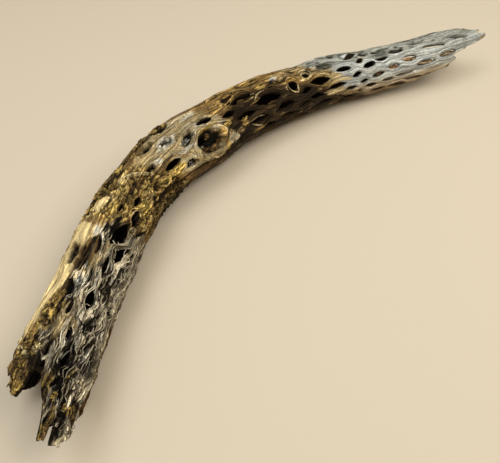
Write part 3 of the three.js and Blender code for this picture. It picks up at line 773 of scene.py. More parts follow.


# The colour of each place: the zones are laid first, then the strokes, then the painted shade of the lower
# side, the recesses and the bore, with a browner underside.
def tint(along, around, masks, form, depth):
    wander, small, side = masks["wander"], masks["small"], wrapped(around)
    fine, cords, deep, tone = [form[name] for name in ("fine", "cords", "deep", "tone")]
    sheet, drift, folds = [form[name] for name in ("sheet", "drift", "folds")]
    honey, swirl, crust, bare = [masks[name] for name in ("honey", "swirl", "crust", "bare")]
    frayed, bark, dark, bleach = [masks[name] for name in ("frayed", "bark", "dark", "bleach")]
    streak = 0.6 * fine + 0.5 * small
    strand = smoothstep(-0.1, 0.35, cords + 0.4 * fine)
    ridge = dark * (smoothstep(2.2, 6.5, form["rim"]) * smoothstep(-0.2, 0.6, streak))
    fading = masks["fading"] * (1 - dark)
    lit = smoothstep(4, 34, side + 10 * wander) * (1 - smoothstep(78, 96, side))
    shady = smoothstep(-0.35, 0.45, 0.6 * small + 0.6 * wander - 0.3 * fine - 0.2)
    edge = smoothstep(26, 2, side + 8 * wander) * (1 - 0.6 * smoothstep(640, 720, along))
    zones = [
        ("honey", honey),
        ("honeyShade", honey * smoothstep(-0.1, 0.5, -streak + 0.5 * wander) * 0.65),
        ("honeyShade", honey * smoothstep(0.4, 0.15, sheet) * 0.7),
        ("honeyPale", honey * smoothstep(0.6, 1.1, sheet + 0.5 * fine) * 0.5),
        ("swirl", swirl * (0.85 + 0.3 * wander)),
        ("honeyPale", swirl * smoothstep(0.1, 0.6, drift - 0.02 * (along - 285)) * 0.6),
        ("white", swirl * smoothstep(0.1, 0.8, streak + 0.5 * wander) * 0.45),
        ("umber", swirl * smoothstep(0.35, 0.9, -streak) * 0.6),
        ("amber", crust * (0.85 + 0.3 * wander)),
        # The crust's golden is painted paler on the crests of its folds and darker in their valleys:
        # painted highlight and shade
        ("crust", crust * smoothstep(-0.1, 0.8, folds + 0.6 * small) * 0.9),
        ("bare", crust * smoothstep(0.75, 1.1, folds + 0.4 * fine - 0.4 * drift) * 0.45),
        ("crustShade", crust * smoothstep(-0.2, -0.8, folds + 0.3 * small) * 0.9),
        ("umber", crust * smoothstep(0.05, 0.65, drift + 0.4 * small) * 0.6),
        ("bare", bare * (0.95 + 0.3 * wander)),
        ("honeyPale", bare * smoothstep(0.2, 0.9, -streak + 0.3 * wander) * 0.55),
        # Painted shade in the gaps between frayed strands; the strands are laid pale over it
        ("darkWoodAndShade", frayed),
        ("cord", frayed * strand),
        ("white", frayed * smoothstep(0.5, 1.1, cords + 0.5 * fine) * 0.6),
        ("cord", frayed * smoothstep(64, 90, side + 12 * small) * 0.6),
        ("darkWoodAndShade", frayed * smoothstep(0.1, 0.7, wander + 0.7 * small - 0.3) * 0.7),
        ("crust", frayed * smoothstep(0.6, 0.9, small - 0.3 * wander) * 0.35),
        ("bark", bark * 0.92),
        ("crust", bark * smoothstep(0.45, 0.8, tone + 0.4 * small) * 0.75),
        ("darkWoodAndShade", bark * smoothstep(0.4, 0.1, tone + 0.3 * small) * 0.85),
        ("darkWoodAndShade", dark * 0.97),
        ("umber", ridge * 0.6),
        ("honeyPale", ridge * smoothstep(0.45, 0.9, small + 0.4 * wander) * 0.45),
        ("honeyPale", fading * 0.8),
        ("umber", fading * smoothstep(0.2, 0.8, -streak) * 0.7),
        ("grey", bleach),
        ("pale", bleach * lit * 0.9),
        ("silver", bleach * smoothstep(-0.1, 0.55, streak + 0.5 * wander) * (0.35 + 0.6 * lit)),
        ("greyShade", bleach * shady * (0.45 + 1.2 * edge)),
        ("greyShade", bleach * smoothstep(680, 730, along) * 0.3),
        # Painted warm light from the floor on the lower side of the grey wood, and browner further under
        ("beige", bleach * smoothstep(70, 94, side) * 0.85),
        ("wood", bleach * smoothstep(96, 116, side) * 0.6),
    ]
    colour = np.tile(np.array(palette["wood"]), (len(along), 1))
    for name, share in zones:
        colour = mixed(colour, name, share)
    layStrokes(colour, along, around, masks, form, strand)
    # Painted shade on the lower side of the limb, which faces the floor
    low = smoothstep(72, 100, side + 8 * small) * (1 - bleach) * (1 - frayed) * (1 - dark)
    under = smoothstep(100, 140, np.abs(wrapped(around - 10)))
    filled = smoothstep(0.35, 0.7, patches(filledPits, along, around) + 0.5 * small)
    deep = deep * (1 - 0.85 * filled)
    # Painted shade on the bore seen through the holes, lighter where the far part is open
    inside = 1 - 0.6 * bleach * smoothstep(585, 615, along)
    shades = [
        ("honeyShade", low * 0.7),
        ("wood", 0.5 * under),
        ("darkWoodAndShade", deep * 0.9),
        ("black", smoothstep(0.4, 0.9, deep) * 0.94),
        ("darkWoodAndShade", smoothstep(0.03, 0.4, -depth) * 0.97 * inside),
        ("black", smoothstep(0.3, 0.8, -depth) * 0.6 * inside),
    ]
    for name, share in shades:
        colour = mixed(colour, name, share)
    return colour


# The finished bmesh as a mesh, and where its vertices are.
def meshOf(bm, name):
    mesh = bpy.data.meshes.new(name)
    bm.to_mesh(mesh)
    bm.free()
    places = np.empty(len(mesh.vertices) * 3)
    mesh.vertices.foreach_get("co", places)
    return mesh, places.reshape(-1, 3)


# Puts the vertices in their places, in mm, and adds what the material reads from the mesh.
def dress(mesh, places, colours, flow, values):
    mesh.vertices.foreach_set("co", (places * mm).ravel())
    rgba = np.concatenate([colours, np.ones((len(colours), 1))], axis=1)
    layers = [("tint", "FLOAT_COLOR", "color", rgba), ("weave", "FLOAT_VECTOR", "vector", flow)]
    layers += [(name, "FLOAT", "value", part) for name, part in values.items()]
    for name, kind, field, part in layers:
        layer = mesh.attributes.new(name, kind, "POINT")
        layer.data.foreach_set(field, np.ascontiguousarray(part, dtype=np.float32).ravel())
    mesh.update()


# The strands' own coordinates, in metres, so that the grain flows round the holes.
def strandPoints(along, grain):
    turn = grain * degree
    return np.stack([along, meanRadius * np.cos(turn), meanRadius * np.sin(turn)], axis=-1) * mm


# How open the fine grain is: 1 where it is cracked and stringy, 0 where it is smooth.
def crackedness(masks):
    shares = {"bare": -0.3, "bleach": -0.35, "frayed": 0.45, "bark": 0.4, "crust": 0.25, "dark": 0.2,
              "honey": 0.2}
    return np.clip(0.55 + sum(share * masks[name] for name, share in shares.items()), 0, 1)


# The wall at the holes' rims and the torn ends: the share that the bore side is cut back, over
# how many mm, the share of thickness left at a tear, and half the least thickness in mm.
rims = {"thinned": 0.24, "width": 5, "torn": 0.42, "leastHalf": 0.9}


# The finished wall: every flat vertex is put on the limb.
def woodMesh():
    mesh, flat = meshOf(thicken(flatSheet(holes)), "branch_wood")
    along, flatRound, depth = [np.array(c) for c in flat.T]
    around = flatRound + spreadBy(holes, along, flatRound)
    masks = weathering(along, around)
    form = outerForm(along, around, flatRound, masks)
    outer = wallRadius(along) + form["height"]
    wall = between(limb["walls"], along)
    thin = rims["thinned"] * wall * (1 - smoothstep(0, rims["width"], form["rim"])) ** 1.5
    inner = wallRadius(along) - wall + thin + 0.9 * barkNoise(along, around, 14, 7, 50, 2)
    nearEnd, farEnd = endDistance(along, around)
    torn = np.minimum(nearEnd / ends["taper"][0], farEnd / ends["taper"][1])
    keep = rims["torn"] + (1 - rims["torn"]) * smoothstep(0, 1, torn)
    middle = (outer + inner) / 2
    half = np.clip((outer - inner) / 2, rims["leastHalf"], None)
    outer, inner = middle + half * keep, middle - half * keep
    radius = outer * (1 + depth) - inner * depth
    radius += np.sin(-depth * math.pi) * 0.5 * barkNoise(along, around, 4, 4, 52)
    place = pointsAt(along, around, radius)
    place[:, 2] = np.maximum(place[:, 2], 0)
    colours = tint(along, around, masks, form, depth)
    dress(mesh, place, colours, strandPoints(along, form["grain"]), {
        "deep": np.maximum(form["deep"], smoothstep(0.02, 0.5, -depth)),
        "cracked": crackedness(masks),
        "lumpy": np.clip(form["crumbly"] - 0.35 * masks["crust"], 0, 1),
        "rings": np.clip(masks["swirl"] + 0.5 * masks["honey"], 0, 1),
        "crusty": np.clip(masks["crust"] + 0.6 * masks["bark"], 0, 1),
    })
    # The bore and the unseen sides may be simplified
    side = wrapped(around)
    hiddenSide = 1 - smoothstep(-75, -50, side) * (1 - smoothstep(108, 128, side))
    return mesh, np.where(depth < -0.5, 1.0, 0.35 * hiddenSide * (depth > -0.01))


strands = {
    "segments": 12, "sides": 4, "seed": 3,
    "sunk": 0.6,             # how far the two ends go into the wood, mm
    "sharpestTurn": 9,       # degrees from one segment to the next
    "offFloor": 2,           # mm
    "flatness": 1.25,        # how much wider than thick
    # along from, to, round from, to, how many bundles, strands in each, length, thickness,
    # lift, waviness
    "bands": [
        (-24, 60, 24, 100, 110, (2, 5), (10, 30), (0.5, 1.1), 1.4, 4.6),
        (50, 168, 14, 104, 170, (2, 5), (10, 34), (0.5, 1.1), 1.4, 4.6),
        (-24, 168, 28, 98, 150, (1, 2), (5, 14), (0.5, 1.2), 2.0, 11.0),
        (8, 42, 12, 28, 22, (2, 4), (12, 26), (0.6, 1.2), 1.2, 2.6),
        (34, 54, -16, 4, 26, (2, 4), (7, 16), (0.5, 1.0), 1.6, 5.0),
        (-16, 10, 24, 48, 10, (1, 3), (10, 20), (0.7, 1.3), 0.8, 2.0),
        (82, 112, 4, 24, 30, (2, 4), (10, 26), (0.5, 1.0), 1.4, 3.6),
        (108, 150, 16, 30, 22, (2, 5), (14, 36), (0.5, 1.0), 0.8, 2.0),
        (168, 236, 40, 92, 40, (1, 3), (8, 22), (0.5, 1.1), 0.6, 4.0),
        (236, 350, -10, 90, 16, (1, 3), (10, 26), (0.4, 0.8), 0.2, 1.6),
        (345, 372, 40, 92, 26, (1, 3), (6, 16), (0.5, 1.0), 1.2, 6.0),
        (30, 170, 100, 300, 30, (1, 3), (18, 40), (0.8, 1.5), 0.6, 2.6),
    ],
    "splinters": [("near", 110, (4, 8), (1.2, 2.4)), ("far", 24, (3, 6), (1.0, 1.8))],
}

threadDegree = 0.56      # mm round the limb to a degree, to step evenly along a thread

# Ridges and threads placed one by one: thickness, colour, then places along and round.
threads = [
    (1.5, "bare", [(450, 33), (450, 38), (452, 43), (456, 48), (461, 51), (462, 43), (464, 33)]),
    (1.1, "swirl", [(450, 36), (449, 30), (451, 25)]),
    (2.0, "bare", [(479, 7), (474, 10), (472, 18), (474, 26), (480, 31), (486, 26), (488, 17),
                   (484, 10), (480, 7)]),
    (1.5, "swirl", [(397, 34), (400, 29), (404, 24), (409, 21), (416, 22)]),
    (1.6, "honeyPale", [(404, 24), (402, 19), (399, 14)]),
    (1.3, "honey", [(388, 38), (395, 36), (402, 34), (408, 31)]),
    (1.1, "umber", [(382, 26), (388, 28), (394, 27), (400, 29)]),
    (1.4, "swirl", [(383, 74), (388, 79), (393, 83), (399, 87)]),
    (1.2, "beige", [(384, 68), (390, 64), (398, 65), (404, 69)]),
    (1.3, "swirl", [(316, 28), (321, 27), (327, 28), (333, 26), (338, 22)]),
    (2.6, "white", [(146, 3), (145, 10), (141, 15), (134, 18), (127, 19), (119, 19)]),
    (1.6, "swirl", [(152, 52), (156, 48), (163, 48), (169, 52), (166, 58), (159, 58), (154, 55)]),
    (1.6, "honeyPale", [(169, 44), (173, 39), (179, 38), (185, 42), (187, 50), (185, 58)]),
    (1.9, "bare", [(206, -9), (211, -3), (214, 4), (219, 9), (222, 17), (227, 22), (229, 29), (235, 34)]),
    (1.3, "umber", [(172, 52), (175, 58), (180, 61), (185, 58)]),
    (1.2, "darkWoodAndShade", [(200, 70), (215, 72), (232, 72), (250, 76), (262, 82)]),
    (1.4, "cord", [(126, 62), (130, 58), (136, 60), (142, 64)]),
    (2.2, "swirl", [(46, 12), (52, 10), (58, 12), (66, 16)]),
    (1.8, "swirl", [(57, 12), (63, 8), (70, 6), (77, 9)]),
    (1.6, "swirl", [(60, 14), (63, 20), (61, 27), (56, 31)]),
    (0.9, "wood", [(106, -8), (117, -7), (128, -6), (139, -3)]),
    (0.9, "bark", [(103, -3), (113, -2), (124, 0), (135, 2)]),
    (0.8, "wood", [(110, -11), (121, -10), (133, -9)]),
    (0.9, "greyShade", [(108, 2), (118, 3), (127, 5), (134, 6)]),
    (1.8, "amber", [(50, 32), (54, 31), (59, 29), (63, 26)]),
    (1.0, "white", [(85, 45), (88, 41), (92, 38), (97, 36)]),
    (0.9, "white", [(81, 46), (86, 44), (90, 40), (92, 35)]),
    (0.9, "cord", [(77, 29), (79, 34), (78, 40)]),
    (1.0, "white", [(136, 42), (139, 37), (142, 33), (144, 28)]),
    (0.9, "cord", [(137, 45), (141, 41), (146, 38)]),
    (1.0, "white", [(133, 57), (138, 54), (143, 56), (148, 61)]),
    (0.9, "white", [(23, 29), (29, 31), (35, 35), (39, 41)]),
    (0.9, "cord", [(43, 22), (47, 23), (52, 22), (57, 20)]),
    (0.9, "white", [(112, 42), (117, 40), (123, 40), (129, 38)]),
    (2.0, "swirl", [(286, 62), (296, 68), (306, 77), (316, 86), (328, 94)]),
    (1.5, "honey", [(350, 16), (360, 12), (370, 8), (378, 3), (384, -1)]),
]


# Each strand as where it starts, its middle round, length, half thickness, lift, waviness, 1 for
# a splinter that stands loose, and the key to its own waves.
def strandPlan():
    draw = np.random.default_rng(strands["seed"])
    rows = []
    for low, high, left, right, count, together, lengths, widths, lift, wave in strands["bands"]:
        for bundle in range(count):
            length = draw.uniform(*lengths)
            start = draw.uniform(low, high) - length / 2
            middle = draw.uniform(left, right)
            width = draw.uniform(*widths)
            rise = lift * draw.uniform(0.1, 1)
            sway = wave * draw.uniform(-1, 1)
            for k in range(draw.integers(together[0], together[1] + 1)):
                offset = k * width * 1.05 / meanRadius / degree
                rows.append((start + draw.uniform(-3, 3), middle + offset, length * draw.uniform(0.8, 1.1),
                             width / 2 * draw.uniform(0.8, 1.2), rise * draw.uniform(0.7, 1.1), sway, 0,
                             middle * 3.3))
    for name, count, lengths, widths in strands["splinters"]:
        for splinter in range(count):
            length = draw.uniform(*lengths)
            around = draw.uniform(-180, 180)
            edge = float(straightBetween(ends[name], around))
            out = length * draw.uniform(0.05, 0.3)
            start = edge - out if name == "near" else edge + out - length
            rows.append((start, around, length, draw.uniform(*widths) / 2, -draw.uniform(0.6, 3.5),
                         draw.uniform(-1, 1), 1, around))
    return np.array(rows), draw


# The flat place that the weave spreads to each place round the limb.
def unspread(along, around):
    flat = np.array(around)
    for turn in range(5):
        flat = wrapped(around - spreadBy(holes, along, flat))
    return flat


# A running mean along each row.
def evened(rows, turns):
    for turn in range(turns):
        padded = np.pad(rows, ((0, 0), (1, 1)), mode="edge")
        rows = (padded[:, :-2] + 2 * padded[:, 1:-1] + padded[:, 2:]) / 4
    return rows


# The masks and the form of the surface under a set of places, in the shape of those places.
def groundUnder(along, around, flat):
    masks = weathering(along.ravel(), around.ravel())
    form = outerForm(along.ravel(), around.ravel(), flat.ravel(), masks)
    return [{name: part.reshape(along.shape) for name, part in parts.items()}
            for parts in (masks, form)]


# Strands along the grain: their middle lines, half thicknesses and colours.
def grainStrands():
    rows, draw = strandPlan()
    t = np.linspace(0, 1, strands["segments"] + 1)
    start, middle, length, thick, lift, wave, loose, key = [rows[:, k][:, None] for k in range(8)]
    along = start + t * length
    index = key * 1.7 + 0 * along
    sway = noise(along / 11, index, 0 * along + 3, 80) + 0.55 * noise(along / 4.2, index, 0 * along + 9, 81)
    flat = middle + wave * sway
    around = wrapped(flat + spreadBy(holes, along.ravel(), flat.ravel()).reshape(flat.shape))
    turned = np.abs(wrapped(np.diff(around, axis=1))).max(axis=1)
    masks, form = groundUnder(along, around, flat)
    height = np.maximum(evened(form["height"], 3), form["height"] - 0.8)
    arch, sunk = np.sin(math.pi * t) ** 0.5, strands["sunk"]
    radius = wallRadius(along) + height + np.where(loose > 0, lift, (lift + sunk) * arch - sunk)
    nearEnd, farEnd = endDistance(along, around)
    onWood = (np.minimum(nearEnd, farEnd) > 1).all(axis=1) | (rows[:, 6] > 0)
    overPit = pitReach(knotRow, along, around) < 1
    overPit = (overPit | ((form["deep"] > 0.9) & (along > 168))).any(axis=1)
    lowest = (wallRadius(along) + radius * np.cos(around * degree)).min(axis=1)
    kept = onWood & (turned < strands["sharpestTurn"]) & (lowest > strands["offFloor"])
    kept &= ~(overPit & (rows[:, 6] == 0))
    swell = np.where(loose > 0, (1 - t) * t * 2.2 + 0.25, np.clip(np.sin(math.pi * t), 0.04, 1) ** 0.5)
    width = thick * swell * (1 + 0.35 * noise(along / 3.0, flat * 3.1, along * 0, 84))
    # Each strand is as dark or as pale all along as its own random value
    own = np.repeat(draw.random(len(rows)), along.shape[1])
    pieces = {name: part.ravel() for name, part in form.items()}
    pieces["cords"] = own * 2.4 - 0.9
    pieces["deep"] = np.zeros(own.shape)
    flatMasks = {name: part.ravel() for name, part in masks.items()}
    colour = tint(along.ravel(), around.ravel(), flatMasks, pieces, np.zeros(own.shape))
    colour *= (0.65 + 0.6 * own)[:, None]
    colour = colour.reshape(*along.shape, 3)
    return [a[kept] for a in (along, around, flat, radius, width, colour)]


# The threads of the table, on the same terms as the strands along the grain.
def placedThreads():
    t = np.linspace(0, 1, strands["segments"] + 1)
    along, around, width, colour = [], [], [], []
    for thick, name, places in threads:
        stations = np.array(places, float)
        steps = np.hypot(np.diff(stations[:, 0]), np.diff(stations[:, 1]) * threadDegree)
        gone = np.concatenate([[0], np.cumsum(steps)]) / steps.sum()
        along.append(np.interp(t, gone, stations[:, 0]))
        around.append(np.interp(t, gone, stations[:, 1]))
        width.append(thick / 2 * np.clip(np.sin(math.pi * t), 0.1, 1) ** 0.35)
        colour.append(np.tile(palette[name], (len(t), 1)))
    along, around = evened(np.array(along), 1), evened(np.array(around), 1)
    flat = unspread(along.ravel(), around.ravel()).reshape(along.shape)
    ground = groundUnder(along, around, flat)[1]["height"]
    height = np.maximum(evened(ground, 3), ground.max(axis=1, keepdims=True) - 3.5)
    radius = wallRadius(along) + evened(height, 2) + 0.5
    uneven = noise(along / 2.6, around / 5, along * 0, 86)
    width = np.array(width) * (1 + 0.4 * uneven)
    colour = np.array(colour) * (0.9 + 0.35 * noise(along / 2, around / 4, along * 0, 88))[:, :, None]
    return [along, around, flat, radius, width, colour]


# One flat sheet is cut into ribbons, and each is rolled up into a strand with closed ends.
def ribbonSheet(count, segments, sides):
    bm = bmesh.new()
    ribbons = count * (sides + 1)
    bmesh.ops.create_grid(bm, x_segments=segments, y_segments=ribbons, size=0.5)
    for v in bm.verts:
        v.co.x = round((v.co.x + 0.5) * segments)
        v.co.y = round((v.co.y + 0.5) * ribbons)
    spare = [f for f in bm.faces if int(f.calc_center_median().y) % (sides + 1) == sides]
    bmesh.ops.delete(bm, geom=spare, context="FACES")
    bmesh.ops.delete(bm, geom=[v for v in bm.verts if not v.link_faces], context="VERTS")
    place = {(int(v.co.x), int(v.co.y)): v for v in bm.verts}
    rolled = {v: place[x, y - sides] for (x, y), v in place.items() if y % (sides + 1) == sides}
    bmesh.ops.weld_verts(bm, targetmap=rolled)
    bmesh.ops.holes_fill(bm, edges=[e for e in bm.edges if e.is_boundary], sides=sides)
    return meshOf(bm, "branch_fibres")


# All strands and threads in one mesh.
def strandMesh():
    parts = [np.concatenate(pair) for pair in zip(grainStrands(), placedThreads())]
    along, around, flat, radius, width, colours = parts
    segments, sides = strands["segments"], strands["sides"]
    mesh, sheet = ribbonSheet(len(along), segments, sides)
    step = np.rint(sheet[:, 0]).astype(int)
    column = sheet[:, 1]
    strand = np.rint(column).astype(int) // (sides + 1)
    turn = (np.rint(column) % (sides + 1)) / sides * 2 * math.pi
    path = pointsAt(along, around, radius)
    tangent = np.gradient(path, axis=1)
    tangent /= np.linalg.norm(tangent, axis=2, keepdims=True)
    upward = path - pointsAt(along, around, np.zeros(along.shape))
    upward -= tangent * (upward * tangent).sum(axis=2, keepdims=True)
    upward /= np.linalg.norm(upward, axis=2, keepdims=True)
    across = np.cross(tangent, upward)
    ringWidth, flatness = width[strand, step][:, None], strands["flatness"]
    place = path[strand, step] + ringWidth * (np.cos(turn)[:, None] * upward[strand, step]
                                              + flatness * np.sin(turn)[:, None] * across[strand, step])
    place[:, 2] = np.maximum(place[:, 2], 0.05)
    # Painted shade on the underside of each strand
    low = smoothstep(0.5, -0.9, np.cos(turn))
    dress(mesh, place, mixed(colours[strand, step], "darkWoodAndShade", low * 0.92),
          strandPoints(along[strand, step], flat[strand, step] + turn),
          {"deep": low, "cracked": np.full(len(low), 0.7), "lumpy": np.zeros(len(low))})
    return mesh


# Lumps of dried tissue in the holes and of golden crust on the torn end, and plugs in the far holes
# painted as the floor seen through them in shade: place, how far out from the surface, length, width and
# height in mm, colour, and how many crumbs.
lumpsAndShadePlugs = [
    (319, 44, -5, 10, 7, 5, "bark", 9), (309, 68, -4, 11, 7, 5, "umber", 9),
    (320, 72, -3, 14, 8, 5, "bark", 12), (329, 66, -3, 9, 8, 5, "umber", 8),
    (180, 51, -5, 5, 4, 3, "greyShade", 5), (376, 56, -1, 10, 4, 3, "crust", 8),
    (388, 16, -5, 18, 7, 4, "umber", 10), (424, 54, -4, 20, 6, 4, "umber", 12),
    (446, 62, -5, 14, 6, 4, "darkWoodAndShade", 8), (0, 40, 1.2, 7, 6, 4, "crust", 9),
    (-6, 60, 0.8, 9, 5, 3, "crust", 9), (-6, 74, 0.4, 9, 8, 3, "bark", 9),
    (-20, 72, 0.2, 11, 8, 2.5, "flake", 12), (-22, 45, 0.3, 10, 4, 2.5, "bark", 9),
    (30, -4, 0.8, 8, 7, 4, "bare", 9), (3, -12, 0.3, 8, 6, 2.5, "amber", 8),
    (12, -20, 0.4, 12, 9, 2.5, "bark", 10), (17, 47, 0.6, 6, 5, 3, "crust", 7),
    (178, 71, 0.6, 12, 8, 4, "honey", 12), (189, 58, 0.3, 10, 7, 3, "crust", 9),
    (160, 55, 0.4, 10, 6, 4, "swirl", 9), (129, 0, -4, 16, 8, 4, "darkWoodAndShade", 10),
    (121, -24, -3, 12, 8, 4, "umber", 10), (259, 60, 0.3, 20, 6, 2.5, "crust", 14),
    (286, 74, -4, 8, 5, 3, "grey", 6), (346, 46, 0.3, 9, 6, 3, "crust", 8),
    (293, 32, -4, 12, 6, 3, "grey", 9), (15, 66, 0.4, 14, 9, 2.5, "cord", 14),
    # Plugs in the far holes, painted as the floor seen through them in the limb's shadow
    (605, 53, -4, 16, 7, 3, "shadedFloorBrown", 22), (629, 43, -4, 17, 7, 3, "shadedFloorBrown", 22),
    (652, 64, -3.5, 22, 8, 3, "tan", 26), (683, 59, -3.5, 22, 8, 3, "tan", 26),
    (664, 33, -3.5, 22, 5, 3, "flake", 20), (586, 64, -4, 10, 6, 3, "shadedFloorBrown", 10),
]


# The crumbs of one lump as rows of place, how far out, size and shade.
def crumbRows():
    draw = np.random.default_rng(17)
    rows, names = [], []
    for at, middle, out, long, wide, high, name, count in lumpsAndShadePlugs:
        for crumb in range(count):
            angle, far = draw.uniform(0, 2 * math.pi), draw.uniform(0, 1) ** 0.6 * 0.42
            size = draw.uniform(0.3, 0.6)
            rows.append((at + math.cos(angle) * far * long,
                         middle + math.sin(angle) * far * wide / meanRadius / degree,
                         out + draw.uniform(-0.3, 0.3) * high * (1 - far), long * size, wide * size,
                         high * size * 1.2, draw.uniform(0.4, 1.15)))
            names.append(name)
    return np.array(rows), names


# Every crumb is a ball, made uneven and pressed into its size. They stand apart until then.
def crumbMesh():
    rows, names = crumbRows()
    apart = 4
    bm = bmesh.new()
    for k in range(len(rows)):
        made = bmesh.ops.create_icosphere(bm, subdivisions=3, radius=1)
        bmesh.ops.translate(bm, verts=made["verts"], vec=(apart * k, 0, 0))
    mesh, ball = meshOf(bm, "branch_tissue")
    index = np.rint(ball[:, 0] / apart).astype(int)
    ball[:, 0] -= apart * index
    at, middle, out, long, wide, high, light = rows[index].T
    own = index[:, None] * 5.1
    swell = 0.8 + 0.5 * noise(*(ball * 1.6 + own).T, 90) + 0.35 * noise(*(ball * 4.2 + own).T, 91)
    ball *= swell[:, None]
    along = at + ball[:, 0] * long / 2
    around = wrapped(middle + ball[:, 1] * wide / 2 / meanRadius / degree)
    centres = rows[:, :1], rows[:, 1:2]
    ground = groundUnder(*centres, centres[1])[1]["height"][:, 0]
    base = np.where(rows[:, 2] < 0, np.maximum(ground, -1), ground)
    radius = wallRadius(along) + base[index] + out + ball[:, 2] * high / 2
    colour = np.array([palette[name] for name in names])[index] * light[:, None]
    shade = np.maximum(smoothstep(0.85, 0.55, swell), smoothstep(0.3, -0.6, ball[:, 2]))
    rough = np.full(len(index), 0.8)
    dress(mesh, pointsAt(along, around, radius), mixed(colour, "darkWoodAndShade", shade * 0.92),
          strandPoints(along, around), {"deep": shade, "cracked": rough, "lumpy": rough})
    return mesh


def nodeMaterial(name):
    material = bpy.data.materials.new(name)
    material.use_nodes = True
    return material, material.node_tree.nodes["Principled BSDF"]


def addNode(tree, kind, **settings):
    node = tree.nodes.new(kind)
    for key, value in settings.items():
        setattr(node, key, value)
    return node


def mapRange(tree, source, fromMin, fromMax, toMin, toMax):
    node = addNode(tree, "ShaderNodeMapRange")
    names = ("From Min", "From Max", "To Min", "To Max")
    for name, value in zip(names, (fromMin, fromMax, toMin, toMax)):
        node.inputs[name].default_value = value
    tree.links.new(source, node.inputs["Value"])
    return node.outputs["Result"]


def calculate(tree, operation, first, second=0):
    node = addNode(tree, "ShaderNodeMath", operation=operation)
    for k, value in enumerate((first, second)):
        if isinstance(value, (int, float)):
            node.inputs[k].default_value = value
        else:
            tree.links.new(value, node.inputs[k])
    return node.outputs["Value"]


def calculateAll(tree, operation, values):
    total = values[0]
    for value in values[1:]:
        total = calculate(tree, operation, total, value)
    return total


def noiseNode(tree, vector, scale, detail, stretch=(1, 1, 1)):
    mapping = addNode(tree, "ShaderNodeMapping")
    mapping.inputs["Scale"].default_value = stretch
    tree.links.new(vector, mapping.inputs["Vector"])
    node = addNode(tree, "ShaderNodeTexNoise")
    for name, value in (("Scale", scale), ("Detail", detail), ("Roughness", 0.6)):
        node.inputs[name].default_value = value
    tree.links.new(mapping.outputs["Vector"], node.inputs["Vector"])
    return node.outputs["Fac"]


def attribute(tree, name, output="Fac"):
    return addNode(tree, "ShaderNodeAttribute", attribute_name=name).outputs[output]


# Dark where the noise crosses its middle, which makes thin closed lines.
def thinLines(tree, source, width):
    away = calculate(tree, "ABSOLUTE", calculate(tree, "SUBTRACT", source, 0.5))
    return mapRange(tree, away, 0, width, 1, 0)


# Fine lines that swirl as the edges of growth layers do, where the mask says.
def swirlingLines(tree, source, density, mask, start, full, darkness):
    waves = calculate(tree, "SINE", calculate(tree, "MULTIPLY", source, density))
    return calculate(tree, "MULTIPLY", mapRange(tree, waves, start, full, 0, darkness), mask)


# Noises that run with the strands: their detail, then how often they change to a metre along
# the strands and across them.
grainNoises = [(2, 36, 680), (2, 26, 380), (1, 40, 105), (1.5, 44, 64)]
grainBump = {"Strength": 0.8, "Distance": 0.0009}
darkestGrain = 0.06      # the light left in the deepest cracks


# One wood for every piece: the tint comes from the mesh, the fine grain and cracks from noise.
def woodMaterial():
    material, shader = nodeMaterial("weathered_wood")
    tree = material.node_tree
    link = tree.links.new
    flow = attribute(tree, "weave", "Vector")
    deep, cracked, lumpy, rings, crusty = [attribute(tree, name) for name in
                                           ("deep", "cracked", "lumpy", "rings", "crusty")]
    place = addNode(tree, "ShaderNodeTexCoord").outputs["Object"]
    grain, fibres, layers, curls = [noiseNode(tree, flow, 1.0, detail, (onward, across, across))
                                    for detail, onward, across in grainNoises]
    specks = noiseNode(tree, place, 420, 4)
    # Cracks follow the grain, and break the crust into crumbs; their dark is painted shade, while the
    # swirling lines are the growth layers' own
    stringy = calculate(tree, "MAXIMUM", thinLines(tree, fibres, 0.035),
                        mapRange(tree, grain, 0.36, 0.47, 0.9, 0))
    darkest = calculateAll(tree, "MAXIMUM", [
        calculate(tree, "MULTIPLY", stringy, cracked),
        calculate(tree, "MULTIPLY", mapRange(tree, specks, 0.37, 0.47, 1, 0), lumpy),
        swirlingLines(tree, layers, 80.0, rings, 0.1, -0.9, 0.62),
        swirlingLines(tree, curls, 38.0, crusty, -0.35, -0.95, 0.88),
    ])
    light = calculateAll(tree, "MULTIPLY", [
        mapRange(tree, grain, 0.32, 0.68, 0.6, 1.72),
        mapRange(tree, fibres, 0.36, 0.64, 0.7, 1.5),
        mapRange(tree, specks, 0.35, 0.65, 0.78, 1.22),
    ])
    light = calculate(tree, "POWER", light, mapRange(tree, cracked, 0, 1, 0.65, 1.75))
    light = calculate(tree, "MULTIPLY", light, mapRange(tree, darkest, 0, 1, 1, darkestGrain))
    tinted = addNode(tree, "ShaderNodeVectorMath", operation="SCALE")
    link(attribute(tree, "tint", "Color"), tinted.inputs[0])
    link(light, tinted.inputs["Scale"])
    link(tinted.outputs["Vector"], shader.inputs["Base Color"])
    bump = addNode(tree, "ShaderNodeBump")
    for name, value in grainBump.items():
        bump.inputs[name].default_value = value
    link(light, bump.inputs["Height"])
    link(bump.outputs["Normal"], shader.inputs["Normal"])
    link(mapRange(tree, deep, 0, 1, 0.6, 0.95), shader.inputs["Roughness"])
    shader.inputs["Specular IOR Level"].default_value = 0.12
    return material


def finished(mesh, name, material):
    piece = bpy.data.objects.new(name, mesh)
    bpy.context.collection.objects.link(piece)
    mesh.materials.append(material)
    mesh.shade_smooth()
    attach(piece, "root")
    return piece


camera = {
    "place": (-334.1, -265.0, 419.0),    # mm
    "down": 51.93,                       # degrees below the level
    "turn": 40.73,                       # degrees from +X towards +Y
    "lens": 36.0, "sensor": 36.0,
}


